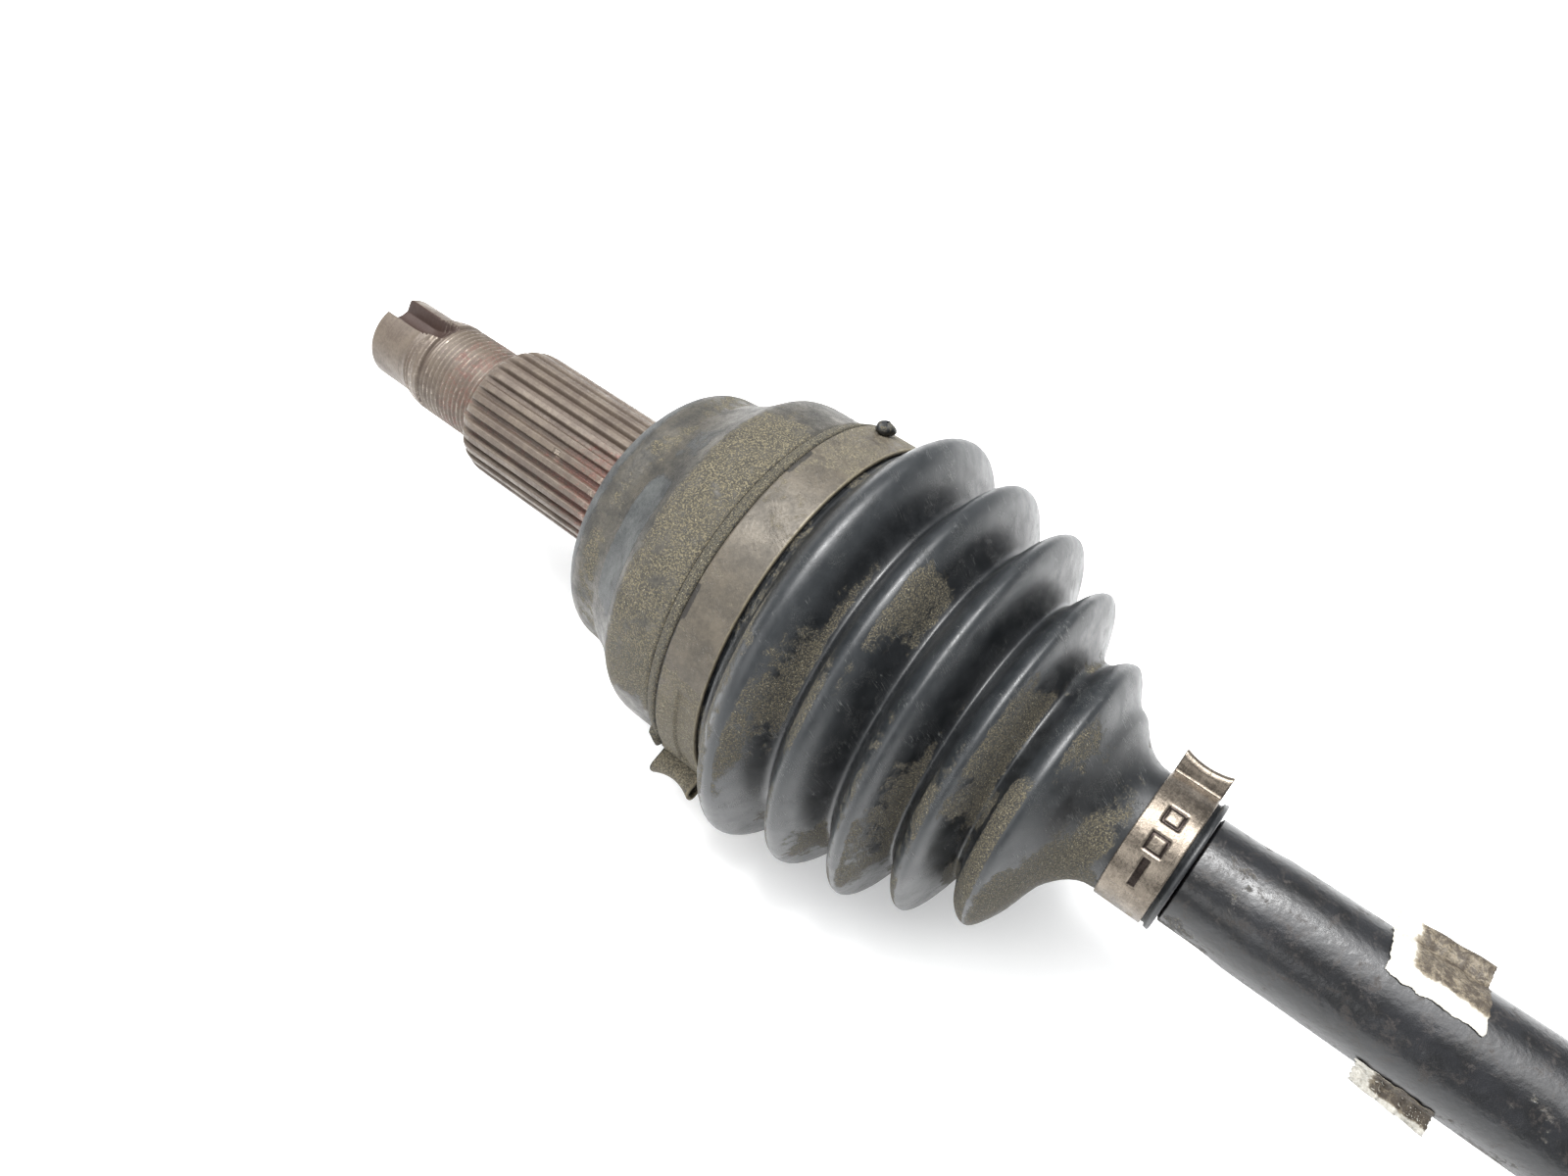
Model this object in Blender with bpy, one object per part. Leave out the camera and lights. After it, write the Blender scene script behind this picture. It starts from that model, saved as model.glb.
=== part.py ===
import bpy
import bmesh
import math
from mathutils import Matrix, Vector

MM = 0.001
X_AXIS, Y_AXIS, Z_AXIS = Vector((1, 0, 0)), Vector((0, 1, 0)), Vector((0, 0, 1))

# The axle lies along +X. x = 0 is the outer stub's end face, on the axle's centre line, and +Z is up.
# Angles round the axle are measured from +Y towards +Z.

CLEARANCE = 0.3 * MM             # gap between pieces that touch

# outer stub: pilot, nut thread, hub spline
TIP_RADIUS = 10.45 * MM
TIP_CHAMFER = 0.8 * MM
THREAD_RADIUS = 11.9 * MM
THREAD_START = 14.5 * MM
THREAD_LEAD_IN = 2.2 * MM
THREAD_RUN_OUT = 0.8 * MM
THREAD_END = 38.5 * MM
STAKE_SLOT_WIDTH = 6.0 * MM
STAKE_SLOT_DEPTH = 3.4 * MM
STAKE_SLOT_LENGTH = 17.0 * MM
STAKE_SLOT_ANGLE = 81
SPLINE_TEETH = 30
SPLINE_TIP_RADIUS = 16.4 * MM
SPLINE_TOOTH_DEPTH = 1.4 * MM
SPLINE_START = 40.0 * MM
SPLINE_CHAMFER = 3.6 * MM
SPLINE_CORE_STEP = 0.5 * MM      # plain core below the tooth roots
SPLINE_BURY = 0.6 * MM           # teeth run this far into the face behind them

# outer joint housing
SEAT_X = 90.0 * MM               # face that the hub bearing clamps against
SEAT_RADIUS = 26.5 * MM
SHOULDER_RADIUS = 31.5 * MM
SEAT_EDGE_WIDTH = 2.0 * MM
SEAT_EDGE_RISE = 2.9 * MM
SHOULDER_EDGE = 4.5 * MM
SHOULDER_CROWN = 0.3 * MM
SHOULDER_WIDTH = 9.5 * MM
NECK_DIP = 0.2 * MM              # slight hollow where the bell starts to rise
NECK_DIP_WIDTH = 1.5 * MM
BELL_RISE_LENGTH = 13.0 * MM
BELL_RISE_POWER = 1.15
BELL_RADIUS = 39.5 * MM
OUTER_CENTRE_OFFSET = 32.0 * MM   # where the outer joint bends, from the seat
HOUSING_MOUTH = 17.0 * MM        # mouth face beyond the centre
BOOT_GROOVE_DEPTH = 2.5 * MM
BOOT_GROOVE_START = 2.6 * MM     # beyond the centre
BOOT_GROOVE_BEVEL = 0.4 * MM

# ball joint inside
BALL_COUNT = 6
BALL_RADIUS = 7.9 * MM
BALL_PITCH_RADIUS = 26.0 * MM
CAGE_OUTER_RADIUS = 28.4 * MM
CAGE_INNER_RADIUS = 23.8 * MM
CAGE_HALF_WIDTH = 13.0 * MM
RACE_HALF_WIDTH = 11.0 * MM
TRACK_SIDE_ROOM = 1.6 * MM       # a ball drifts sideways in its track as the joint bends
TRACK_DEPTH_ROOM = 0.8 * MM
HOUSING_TRACK_SWEEP = (-44, 62)  # degrees round the joint's centre
RACE_TRACK_SWEEP = (-52, 52)
BORE_ROOM = 0.1 * MM             # the cage's spheres turn with a little more room than CLEARANCE
WINDOW_SIDE_ROOM = 1.2 * MM
CAVITY_FLOOR = 24.0 * MM         # floor of the housing, before the centre
MOUTH_SPHERE_END = 9.0 * MM      # where the spherical bore opens into the flare
MOUTH_WALL = 2.0 * MM

# bar between the joints
CENTRE_DISTANCE = 360.0 * MM
BAR_RADIUS = 11.6 * MM
BAR_END_RADIUS = 10.4 * MM
BAR_SEAT_RADIUS = 10.4 * MM      # under each boot's narrow end
BAR_END_OVERHANG = 4.4 * MM      # bar past the inner race
SNAP_RING_WIRE = 1.6 * MM
SNAP_RING_GROOVE = 1.3 * MM
BAR_END_CHAMFER = 0.8 * MM
BAR_HUB_STEP = 0.6 * MM          # the bar is this much thicker between a hub and a boot's neck
BAR_NECK_ROOM = 2.0 * MM         # boot seat starts this far outside the neck
BAR_STEP_RISE = 0.7 * MM         # where the boot seat rises to the bar
BAR_SHOULDER_LENGTH = 7.0 * MM
BAR_SHOULDER_DROP = 0.4 * MM
BAR_TAPER_LENGTH = 4.0 * MM

# outer boot
BOOT_WALL = 2.2 * MM
BOOT_SLEEVE_WALL = 2.6 * MM
OUTER_BOOT_LENGTH = 73.0 * MM     # housing mouth to narrow end
BOOT_NECK_WALL = 2.2 * MM
BOOT_NECK_LENGTH = 10.4 * MM
BOOT_LIP_LENGTH = 3.2 * MM
BOOT_LIP_HEIGHT = 1.2 * MM       # lip over the neck
BOOT_LIP_BEVEL = 0.8 * MM
BOOT_NECK_FILLET = 1.4 * MM
BOOT_SLEEVE_STEP = 1.0 * MM
CREST_WIDTH = 0.42               # half width of a crest, as a share of the room beside it
SLEEVE_OVERHANG = 2.0 * MM        # wide end past the housing mouth
# each fold: crest and then valley, as (share of the boot's length, height over the straight cone
# from the wide end's seat to the narrow end's seat)
OUTER_FOLDS = [
    ((0.107, 13.6 * MM), (0.219, 7.3 * MM)),
    ((0.293, 15.7 * MM), (0.397, 8.8 * MM)),
    ((0.477, 18.0 * MM), (0.559, 8.7 * MM)),
    ((0.633, 16.6 * MM), (0.707, 7.2 * MM)),
    ((0.789, 13.8 * MM), (0.890, 4.1 * MM))]

# ear clamps
LARGE_BAND_WIDTH = 10.5 * MM
LARGE_BAND_THICKNESS = 1.1 * MM
SMALL_BAND_WIDTH = 9.6 * MM
SMALL_BAND_THICKNESS = 0.9 * MM
OUTER_LARGE_BAND_INSET = 11.2 * MM   # band's start before the housing mouth
EAR_HEIGHT = 4.2 * MM
EAR_WIDTH = 7.0 * MM
EAR_FLANK = 1.2 * MM
OUTER_LARGE_EAR_ANGLE = 197
OUTER_SMALL_EAR_ANGLE = 36
INNER_EAR_ANGLE = 60

# label wrapped round the bar
LABEL_DISTANCE = 44.5 * MM        # past the start of the outer boot's narrow end
LABEL_WIDTH = 16.0 * MM
LABEL_THICKNESS = 0.35 * MM
LABEL_FROM = 28
LABEL_TO = 210

# inner joint
INNER_RADIUS = 38.0 * MM
INNER_MOUTH = 28.0 * MM          # mouth face before the centre
INNER_DEPTH = 46.0 * MM          # floor beyond the centre
INNER_FLOOR_WALL = 8.0 * MM
INNER_BORE_RADIUS = 21.0 * MM
INNER_FLARE_RADIUS = 27.0 * MM
INNER_FLARE_DEPTH = 15.0 * MM
COLLAR_LENGTH = 20.0 * MM
SCALLOP_RADIUS = 15.0 * MM
SCALLOP_DEPTH = 5.5 * MM
INNER_STUB_LENGTH = 74.0 * MM
INNER_END_TAPER = [(9.0 * MM, 0.0 * MM), (4.0 * MM, 3.0 * MM), (0.0 * MM, 10.0 * MM)]
INNER_SEAL_STEP = 2.0 * MM
INNER_CORE_STEP = 0.4 * MM
INNER_SPLINE_TEETH = 27
INNER_SPLINE_TIP_RADIUS = 13.4 * MM
INNER_SPLINE_TOOTH_DEPTH = 1.2 * MM
INNER_SPLINE_LENGTH = 30.0 * MM
INNER_SEAL_RADIUS = 17.5 * MM
INNER_SEAL_LENGTH = 30.0 * MM
STUB_TIP_LENGTH = 10.0 * MM
STUB_TIP_RADIUS = 11.6 * MM
STUB_TIP_CHAMFER = 1.0 * MM
STUB_GROOVE_START = 5.5 * MM     # both measured back from the tip
STUB_GROOVE_END = 3.3 * MM
STUB_RING_HEIGHT = 0.9 * MM

# tripod
TRUNNION_COUNT = 3
TRUNNION_RADIUS = 7.0 * MM
TRUNNION_REACH = 29.4 * MM
SPIDER_HUB_RADIUS = 15.0 * MM
SPIDER_HALF_WIDTH = 12.0 * MM
ROLLER_RADIUS = 16.0 * MM
ROLLER_WIDTH = 11.0 * MM
ROLLER_PITCH_RADIUS = 21.5 * MM
ROLLER_TRACK_ROOM = 1.2 * MM
ROLLER_TRACK_FLOOR = 31.5 * MM
ROLLER_TRACK_STOP = 2.0 * MM     # the tracks end this far before the bore's floor
NEEDLE_RADIUS = 1.0 * MM
NEEDLE_COUNT = 15
NEEDLE_END_ROOM = 0.5 * MM
NEEDLE_GROOVE = 0.45 * MM        # between one needle and the next
HUB_CHAMFER = 1.5 * MM
TRUNNION_BURY = 3.2 * MM         # trunnions start inside the hub
TRUNNION_GROOVE = 1.0 * MM
TRUNNION_GROOVE_WIDTH = 1.4 * MM
TRUNNION_RING_WIRE = 0.8 * MM
TRUNNION_RING_HEIGHT = 2.4 * MM

# inner boot
INNER_SLEEVE_LENGTH = 16.0 * MM
INNER_BAND_OFFSET = 3.0 * MM
INNER_BOOT_LENGTH = 69.0 * MM
INNER_FOLDS = [
    ((0.072, 7.5 * MM), (0.174, 1.8 * MM)),
    ((0.268, 10.4 * MM), (0.362, 3.0 * MM)),
    ((0.449, 11.9 * MM), (0.536, 3.8 * MM)),
    ((0.616, 11.5 * MM), (0.696, 3.7 * MM)),
    ((0.768, 9.7 * MM), (0.855, 2.6 * MM))]

# facets round each piece
BODY_SIDES = 36
BOOT_SIDES = 30
SMALL_SIDES = 20
BAND_SIDES = 36

OUTER_CENTRE_X = SEAT_X + OUTER_CENTRE_OFFSET
INNER_CENTRE_X = OUTER_CENTRE_X + CENTRE_DISTANCE
MOUTH_X = OUTER_CENTRE_X + HOUSING_MOUTH
OUTER_NECK_START = MOUTH_X + OUTER_BOOT_LENGTH
LABEL_START = OUTER_NECK_START + LABEL_DISTANCE
HOUSING_BORE_RADIUS = CAGE_OUTER_RADIUS + CLEARANCE + BORE_ROOM
RACE_RADIUS = CAGE_INNER_RADIUS - CLEARANCE - BORE_ROOM
GROOVE_RADIUS = BELL_RADIUS - BOOT_GROOVE_DEPTH
OUTER_LARGE_BAND_RADIUS = GROOVE_RADIUS + BOOT_SLEEVE_WALL + 2 * CLEARANCE
SMALL_BAND_RADIUS = BAR_SEAT_RADIUS + BOOT_NECK_WALL + 2 * CLEARANCE
INNER_MOUTH_X = INNER_CENTRE_X - INNER_MOUTH
INNER_NECK_START = INNER_MOUTH_X - INNER_BOOT_LENGTH
INNER_LARGE_BAND_RADIUS = INNER_RADIUS + BOOT_SLEEVE_WALL + 2 * CLEARANCE
INNER_HOUSING_END = INNER_CENTRE_X + INNER_DEPTH + INNER_FLOOR_WALL
OVERALL_LENGTH = INNER_HOUSING_END + INNER_STUB_LENGTH


def clear_scene():
    for item in list(bpy.data.objects):
        bpy.data.objects.remove(item, do_unlink=True)


def finish_material(name, colour, roughness, metallic):
    material = bpy.data.materials.new(name)
    material.use_nodes = True
    shader = material.node_tree.nodes["Principled BSDF"]
    shader.inputs["Base Color"].default_value = (*colour, 1)
    shader.inputs["Roughness"].default_value = roughness
    shader.inputs["Metallic"].default_value = metallic
    material.diffuse_color = (*colour, 1)
    return material


def place_object(name, mesh_builder, material, origin=(0, 0, 0), cutter=False):
    """Make an object from a bmesh whose points are in world space, with its origin on the joint."""
    mesh = bpy.data.meshes.new(name)
    bmesh.ops.recalc_face_normals(mesh_builder, faces=mesh_builder.faces)
    bmesh.ops.translate(mesh_builder, verts=mesh_builder.verts, vec=-Vector(origin))
    mesh_builder.to_mesh(mesh)
    mesh_builder.free()
    if material:
        mesh.materials.append(material)
    item = bpy.data.objects.new(name, mesh)
    item.location = origin
    bpy.context.scene.collection.objects.link(item)
    if cutter:
        item.hide_render = True
        item.display_type = "WIRE"
    else:
        mesh.shade_smooth()
        mesh.set_sharp_from_angle(angle=math.radians(35))
    return item


def combine(target, tool, operation):
    modifier = target.modifiers.new(tool.name, "BOOLEAN")
    modifier.operation = operation
    modifier.object = tool
    modifier.solver = "EXACT"


def ring_points(builder, centre, side, up, width, height, sides, start=0.0):
    points = []
    for step in range(sides):
        angle = start + 2 * math.pi * step / sides
        offset = side * (width * math.cos(angle)) + up * (height * math.sin(angle))
        points.append(builder.verts.new(centre + offset))
    return points


def bridge_rings(builder, first, second):
    count = len(first)
    for step in range(count):
        after = (step + 1) % count
        builder.faces.new((first[step], first[after], second[after], second[step]))


def turned(outline, sides, closed=False, axis_frame=None, start=0.0):
    """Turn an outline of (along, radius) points. An open outline starts and ends on the axis."""
    builder = bmesh.new()
    centre, along, side, up = axis_frame or (Vector((0, 0, 0)), X_AXIS, Y_AXIS, Z_AXIS)
    rings = []
    for distance, radius in outline:
        middle = centre + along * distance
        if radius < 1e-7:
            rings.append(builder.verts.new(middle))
        else:
            rings.append(ring_points(builder, middle, side, up, radius, radius, sides, start))
    pairs = list(zip(rings, rings[1:]))
    if closed:
        pairs.append((rings[-1], rings[0]))
    for first, second in pairs:
        if isinstance(first, list) and isinstance(second, list):
            bridge_rings(builder, first, second)
            continue
        tip, ring = (first, second) if isinstance(second, list) else (second, first)
        for step in range(sides):
            builder.faces.new((tip, ring[step], ring[(step + 1) % sides]))
    return builder


def arc(centre_x, centre_radius, size, from_degrees, to_degrees, steps):
    """Points on an arc in the outline's own plane, angles from +X towards the outside."""
    points = []
    for step in range(steps + 1):
        angle = math.radians(from_degrees + (to_degrees - from_degrees) * step / steps)
        points.append((centre_x + size * math.cos(angle), centre_radius + size * math.sin(angle)))
    return points


def direction(degrees):
    angle = math.radians(degrees)
    return Vector((0, math.cos(angle), math.sin(angle)))


def tooth_prism(start, end, chamfer_start, chamfer_end, tip_radius, depth, teeth):
    """A splined length: straight-sided teeth, sloped down to the root at each chamfered end."""
    builder = bmesh.new()
    root = tip_radius - depth
    stations = [(start, 0.15 if chamfer_start else 1.0)]
    if chamfer_start:
        stations.append((start + chamfer_start, 1.0))
    if chamfer_end:
        stations.append((end - chamfer_end, 1.0))
    stations.append((end, 0.15 if chamfer_end else 1.0))
    rings = []
    for x, share in stations:
        ring = []
        for tooth in range(teeth):
            for part, radius in ((-0.34, root), (-0.17, root + depth * share), (0.17, root + depth * share),
                                 (0.34, root)):
                angle = 2 * math.pi * (tooth + part) / teeth
                ring.append(builder.verts.new((x, radius * math.cos(angle), radius * math.sin(angle))))
        rings.append(ring)
    for first, second in zip(rings, rings[1:]):
        bridge_rings(builder, first, second)
    builder.faces.new(rings[0])
    builder.faces.new(rings[-1])
    return builder


def block(centre, along, side, up, length, width, height):
    builder = bmesh.new()
    bmesh.ops.create_cube(builder, size=1.0)
    turn = Matrix((along * length, side * width, up * height)).transposed().to_4x4()
    bmesh.ops.transform(builder, matrix=Matrix.Translation(centre) @ turn, verts=builder.verts)
    return builder


def ball_track(centre_x, degrees, from_degrees, to_degrees, steps=9, sides=12):
    """A bent tube round the joint's centre, the room that one ball's track takes up."""
    builder = bmesh.new()
    out = direction(degrees)
    side = direction(degrees + 90)
    centre = Vector((centre_x, 0, 0))
    rings = []
    for step in range(steps + 1):
        angle = math.radians(from_degrees + (to_degrees - from_degrees) * step / steps)
        radial = Vector((math.sin(angle), 0, 0)) + out * math.cos(angle)
        rings.append(ring_points(builder, centre + radial * BALL_PITCH_RADIUS, side, radial,
                                 BALL_RADIUS + TRACK_SIDE_ROOM, BALL_RADIUS + TRACK_DEPTH_ROOM, sides))
    for first, second in zip(rings, rings[1:]):
        bridge_rings(builder, first, second)
    builder.faces.new(rings[0])
    builder.faces.new(rings[-1])
    return builder


def wrapped_band(start, width, radius, thickness, ear_angle):
    """An ear clamp: a flat ring with one pinched ear, its outline closed round the axle."""
    builder = bmesh.new()
    ear_half = math.degrees(EAR_WIDTH / 2 / radius)
    flank = math.degrees(EAR_FLANK / radius)
    base = radius + thickness
    outer = []
    for step in range(BAND_SIDES):
        angle = ear_angle + 180 + 360 * (step + 0.5) / BAND_SIDES
        gap = abs((angle - ear_angle + 180) % 360 - 180)
        if gap > ear_half + flank + 1:
            outer.append((angle, base))
    low_side, high_side = ear_angle - ear_half, ear_angle + ear_half
    ear = [(low_side - flank, base), (low_side - flank * 0.2, base + EAR_HEIGHT * 0.75),
           (low_side + flank * 0.8, base + EAR_HEIGHT), (ear_angle, base + EAR_HEIGHT * 0.78),
           (high_side - flank * 0.8, base + EAR_HEIGHT), (high_side + flank * 0.2, base + EAR_HEIGHT * 0.75),
           (high_side + flank, base)]
    outer = [(low_side - (low_side - angle) % 360, size) for angle, size in outer] + ear
    outer.sort(key=lambda point: (point[0] - ear_angle) % 360)
    rings = []
    for x in (start, start + width):
        outside = []
        inside = []
        for angle, size in outer:
            spoke = direction(angle)
            outside.append(builder.verts.new(Vector((x, 0, 0)) + spoke * size))
            inside.append(builder.verts.new(Vector((x, 0, 0)) + spoke * radius))
        rings.append((outside, inside))
    (outside_a, inside_a), (outside_b, inside_b) = rings
    bridge_rings(builder, outside_a, outside_b)
    bridge_rings(builder, inside_a, inside_b)
    bridge_rings(builder, outside_a, inside_a)
    bridge_rings(builder, outside_b, inside_b)
    return builder


def open_ring(centre, along, side, up, inner, outer, width, gap_degrees, gap_at, sides=20):
    """A snap ring: a flat ring with a gap."""
    builder = bmesh.new()
    sections = []
    for step in range(sides + 1):
        angle = math.radians(gap_at + gap_degrees / 2 + (360 - gap_degrees) * step / sides)
        spoke = side * math.cos(angle) + up * math.sin(angle)
        sections.append([builder.verts.new(centre + along * (width / 2 * edge) + spoke * size)
                         for edge, size in ((-1, inner), (1, inner), (1, outer), (-1, outer))])
    for first, second in zip(sections, sections[1:]):
        bridge_rings(builder, first, second)
    builder.faces.new(sections[0])
    builder.faces.new(sections[-1])
    return builder


def fold_points(folds, wide_x, wide_radius, neck_x, neck_radius):
    """Each fold's crest and valley as (x, radius), crest first."""
    points = []
    for fold in folds:
        for share, height in fold:
            cone_radius = wide_radius + (neck_radius - wide_radius) * share
            points.append((wide_x + (neck_x - wide_x) * share, cone_radius + height))
    return points


def fold_outline(points, crest_steps):
    """Rounded crests with narrow valleys between them."""
    outline = []
    crests, valleys = points[0::2], points[1::2]
    before_x = 1.75 * crests[0][0] - 0.75 * valleys[0][0]
    for (crest_x, crest_radius), (valley_x, valley_radius) in zip(crests, valleys):
        half = min(abs(valley_x - crest_x), abs(crest_x - before_x)) * CREST_WIDTH
        sign = math.copysign(1, valley_x - crest_x)
        for step in range(crest_steps + 1):
            angle = math.pi * (1 - step / crest_steps)
            outline.append((crest_x + sign * half * math.cos(angle),
                            crest_radius - half + half * math.sin(angle)))
        outline.append((valley_x, valley_radius))
        before_x = valley_x
    return outline


def boot_shell(sleeve, points, neck):
    """A bellows of even wall: the outer line, then the same line moved in by the wall."""
    outer = sleeve["outer"] + fold_outline(points, 4) + neck["outer"]
    inner = [(x, radius - BOOT_WALL) for x, radius in fold_outline(points, 2)]
    inner = sleeve["inner"] + inner + neck["inner"]
    return turned(outer + inner[::-1], BOOT_SIDES, closed=True)


def build_outer_housing(steel):
    groove_start = OUTER_CENTRE_X + BOOT_GROOVE_START
    core = SPLINE_TIP_RADIUS - SPLINE_TOOTH_DEPTH - SPLINE_CORE_STEP
    shoulder_end = SEAT_X + SHOULDER_WIDTH
    rise_start = shoulder_end + NECK_DIP_WIDTH
    outline = [(0, 0), (0, TIP_RADIUS - TIP_CHAMFER), (TIP_CHAMFER, TIP_RADIUS),
               (THREAD_START - THREAD_LEAD_IN, TIP_RADIUS), (THREAD_START, THREAD_RADIUS),
               (THREAD_END, THREAD_RADIUS), (THREAD_END + THREAD_RUN_OUT, core), (SEAT_X, core),
               (SEAT_X, SEAT_RADIUS), (SEAT_X + SEAT_EDGE_WIDTH, SEAT_RADIUS + SEAT_EDGE_RISE),
               (SEAT_X + SHOULDER_EDGE, SHOULDER_RADIUS - SHOULDER_CROWN),
               (SEAT_X + SHOULDER_EDGE + SEAT_EDGE_WIDTH, SHOULDER_RADIUS),
               (shoulder_end, SHOULDER_RADIUS), (rise_start, SHOULDER_RADIUS - NECK_DIP)]
    steps = 6
    for step in range(1, steps + 1):
        share = step / steps
        height = math.sin(math.pi / 2 * share) ** BELL_RISE_POWER
        outline.append((rise_start + BELL_RISE_LENGTH * share,
                        SHOULDER_RADIUS + (BELL_RADIUS - SHOULDER_RADIUS) * height))
    outline += [(groove_start - BOOT_GROOVE_BEVEL, BELL_RADIUS), (groove_start, GROOVE_RADIUS),
                (MOUTH_X, GROOVE_RADIUS), (MOUTH_X, GROOVE_RADIUS - MOUTH_WALL)]
    low = math.degrees(math.acos(MOUTH_SPHERE_END / HOUSING_BORE_RADIUS))
    high = math.degrees(math.acos(-CAVITY_FLOOR / HOUSING_BORE_RADIUS))
    outline += arc(OUTER_CENTRE_X, 0, HOUSING_BORE_RADIUS, low, high, 9)
    outline += [(OUTER_CENTRE_X - CAVITY_FLOOR, 0)]
    housing = place_object("outer_joint_housing", turned(outline, BODY_SIDES), steel, (OUTER_CENTRE_X, 0, 0))
    teeth = place_object("outer_spline_guide", tooth_prism(
        SPLINE_START, SEAT_X + SPLINE_BURY, SPLINE_CHAMFER, 0, SPLINE_TIP_RADIUS, SPLINE_TOOTH_DEPTH,
        SPLINE_TEETH), steel, cutter=True)
    combine(housing, teeth, "UNION")
    up = direction(STAKE_SLOT_ANGLE)
    slot_height = THREAD_RADIUS - TIP_RADIUS + 2 * STAKE_SLOT_DEPTH
    slot_middle = up * (TIP_RADIUS - STAKE_SLOT_DEPTH + slot_height / 2)
    slot = place_object("stake_slot_guide", block(
        slot_middle, X_AXIS, direction(STAKE_SLOT_ANGLE - 90), up,
        2 * STAKE_SLOT_LENGTH, STAKE_SLOT_WIDTH, slot_height), None, cutter=True)
    combine(housing, slot, "DIFFERENCE")
    for number in range(BALL_COUNT):
        tube = ball_track(OUTER_CENTRE_X, 360 * number / BALL_COUNT, *HOUSING_TRACK_SWEEP)
        track = place_object("outer_track_guide_%d" % (number + 1), tube, None, cutter=True)
        combine(housing, track, "DIFFERENCE")


def build_ball_joint(bright, dark):
    centre = Vector((OUTER_CENTRE_X, 0, 0))
    for number in range(BALL_COUNT):
        builder = bmesh.new()
        bmesh.ops.create_uvsphere(builder, u_segments=12, v_segments=8, radius=BALL_RADIUS)
        place = centre + direction(360 * number / BALL_COUNT) * BALL_PITCH_RADIUS
        bmesh.ops.translate(builder, verts=builder.verts, vec=place)
        place_object("ball_%d" % (number + 1), builder, bright, centre)

    outer_end = math.degrees(math.acos(CAGE_HALF_WIDTH / CAGE_OUTER_RADIUS))
    inner_end = math.degrees(math.acos(CAGE_HALF_WIDTH / CAGE_INNER_RADIUS))
    outline = arc(OUTER_CENTRE_X, 0, CAGE_OUTER_RADIUS, 180 - outer_end, outer_end, 6)
    outline += arc(OUTER_CENTRE_X, 0, CAGE_INNER_RADIUS, inner_end, 180 - inner_end, 6)
    cage = place_object("ball_cage", turned(outline, 30, closed=True, start=math.radians(6)), dark, centre)
    for number in range(BALL_COUNT):
        out = direction(360 * number / BALL_COUNT)
        side = direction(360 * number / BALL_COUNT + 90)
        window = place_object("cage_window_guide_%d" % (number + 1), block(
            centre + out * BALL_PITCH_RADIUS, X_AXIS, side, out, 2 * (BALL_RADIUS + CLEARANCE),
            2 * (BALL_RADIUS + WINDOW_SIDE_ROOM), 2 * BALL_RADIUS), None, cutter=True)
        combine(cage, window, "DIFFERENCE")

    race_end = math.degrees(math.acos(RACE_HALF_WIDTH / RACE_RADIUS))
    bore = BAR_END_RADIUS + CLEARANCE
    outline = arc(OUTER_CENTRE_X, 0, RACE_RADIUS, 180 - race_end, race_end, 6)
    outline += [(OUTER_CENTRE_X + RACE_HALF_WIDTH, bore), (OUTER_CENTRE_X - RACE_HALF_WIDTH, bore)]
    race = place_object("inner_race", turned(outline, 30, closed=True, start=math.radians(6)), bright, centre)
    for number in range(BALL_COUNT):
        tube = ball_track(OUTER_CENTRE_X, 360 * number / BALL_COUNT, *RACE_TRACK_SWEEP)
        track = place_object("race_track_guide_%d" % (number + 1), tube, None, cutter=True)
        combine(race, track, "DIFFERENCE")


def groove_points(start, groove_radius):
    """A snap ring groove in the bar's end."""
    low, high = start - CLEARANCE, start + SNAP_RING_WIRE + CLEARANCE
    return [(low, BAR_END_RADIUS), (low, groove_radius), (high, groove_radius), (high, BAR_END_RADIUS)]


def bar_seat_points(hub_x, neck_x, way):
    """The bar from one hub to its full size, with the seat for a boot's neck on the way."""
    lip_end = neck_x + way * (BOOT_NECK_LENGTH + BOOT_LIP_LENGTH)
    step_start = lip_end + way * (CLEARANCE + BOOT_LIP_BEVEL / 2)
    shoulder_end = step_start + way * BAR_SHOULDER_LENGTH
    seat_start = neck_x - way * BAR_NECK_ROOM
    hub_radius = BAR_SEAT_RADIUS + BAR_HUB_STEP
    return [(hub_x, BAR_END_RADIUS), (hub_x, hub_radius), (seat_start - way * BAR_HUB_STEP, hub_radius),
            (seat_start, BAR_SEAT_RADIUS), (step_start, BAR_SEAT_RADIUS),
            (step_start + way * BAR_STEP_RISE, BAR_RADIUS - BAR_SHOULDER_DROP),
            (shoulder_end, BAR_RADIUS - BAR_SHOULDER_DROP),
            (shoulder_end + way * BAR_TAPER_LENGTH, BAR_RADIUS)]


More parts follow.
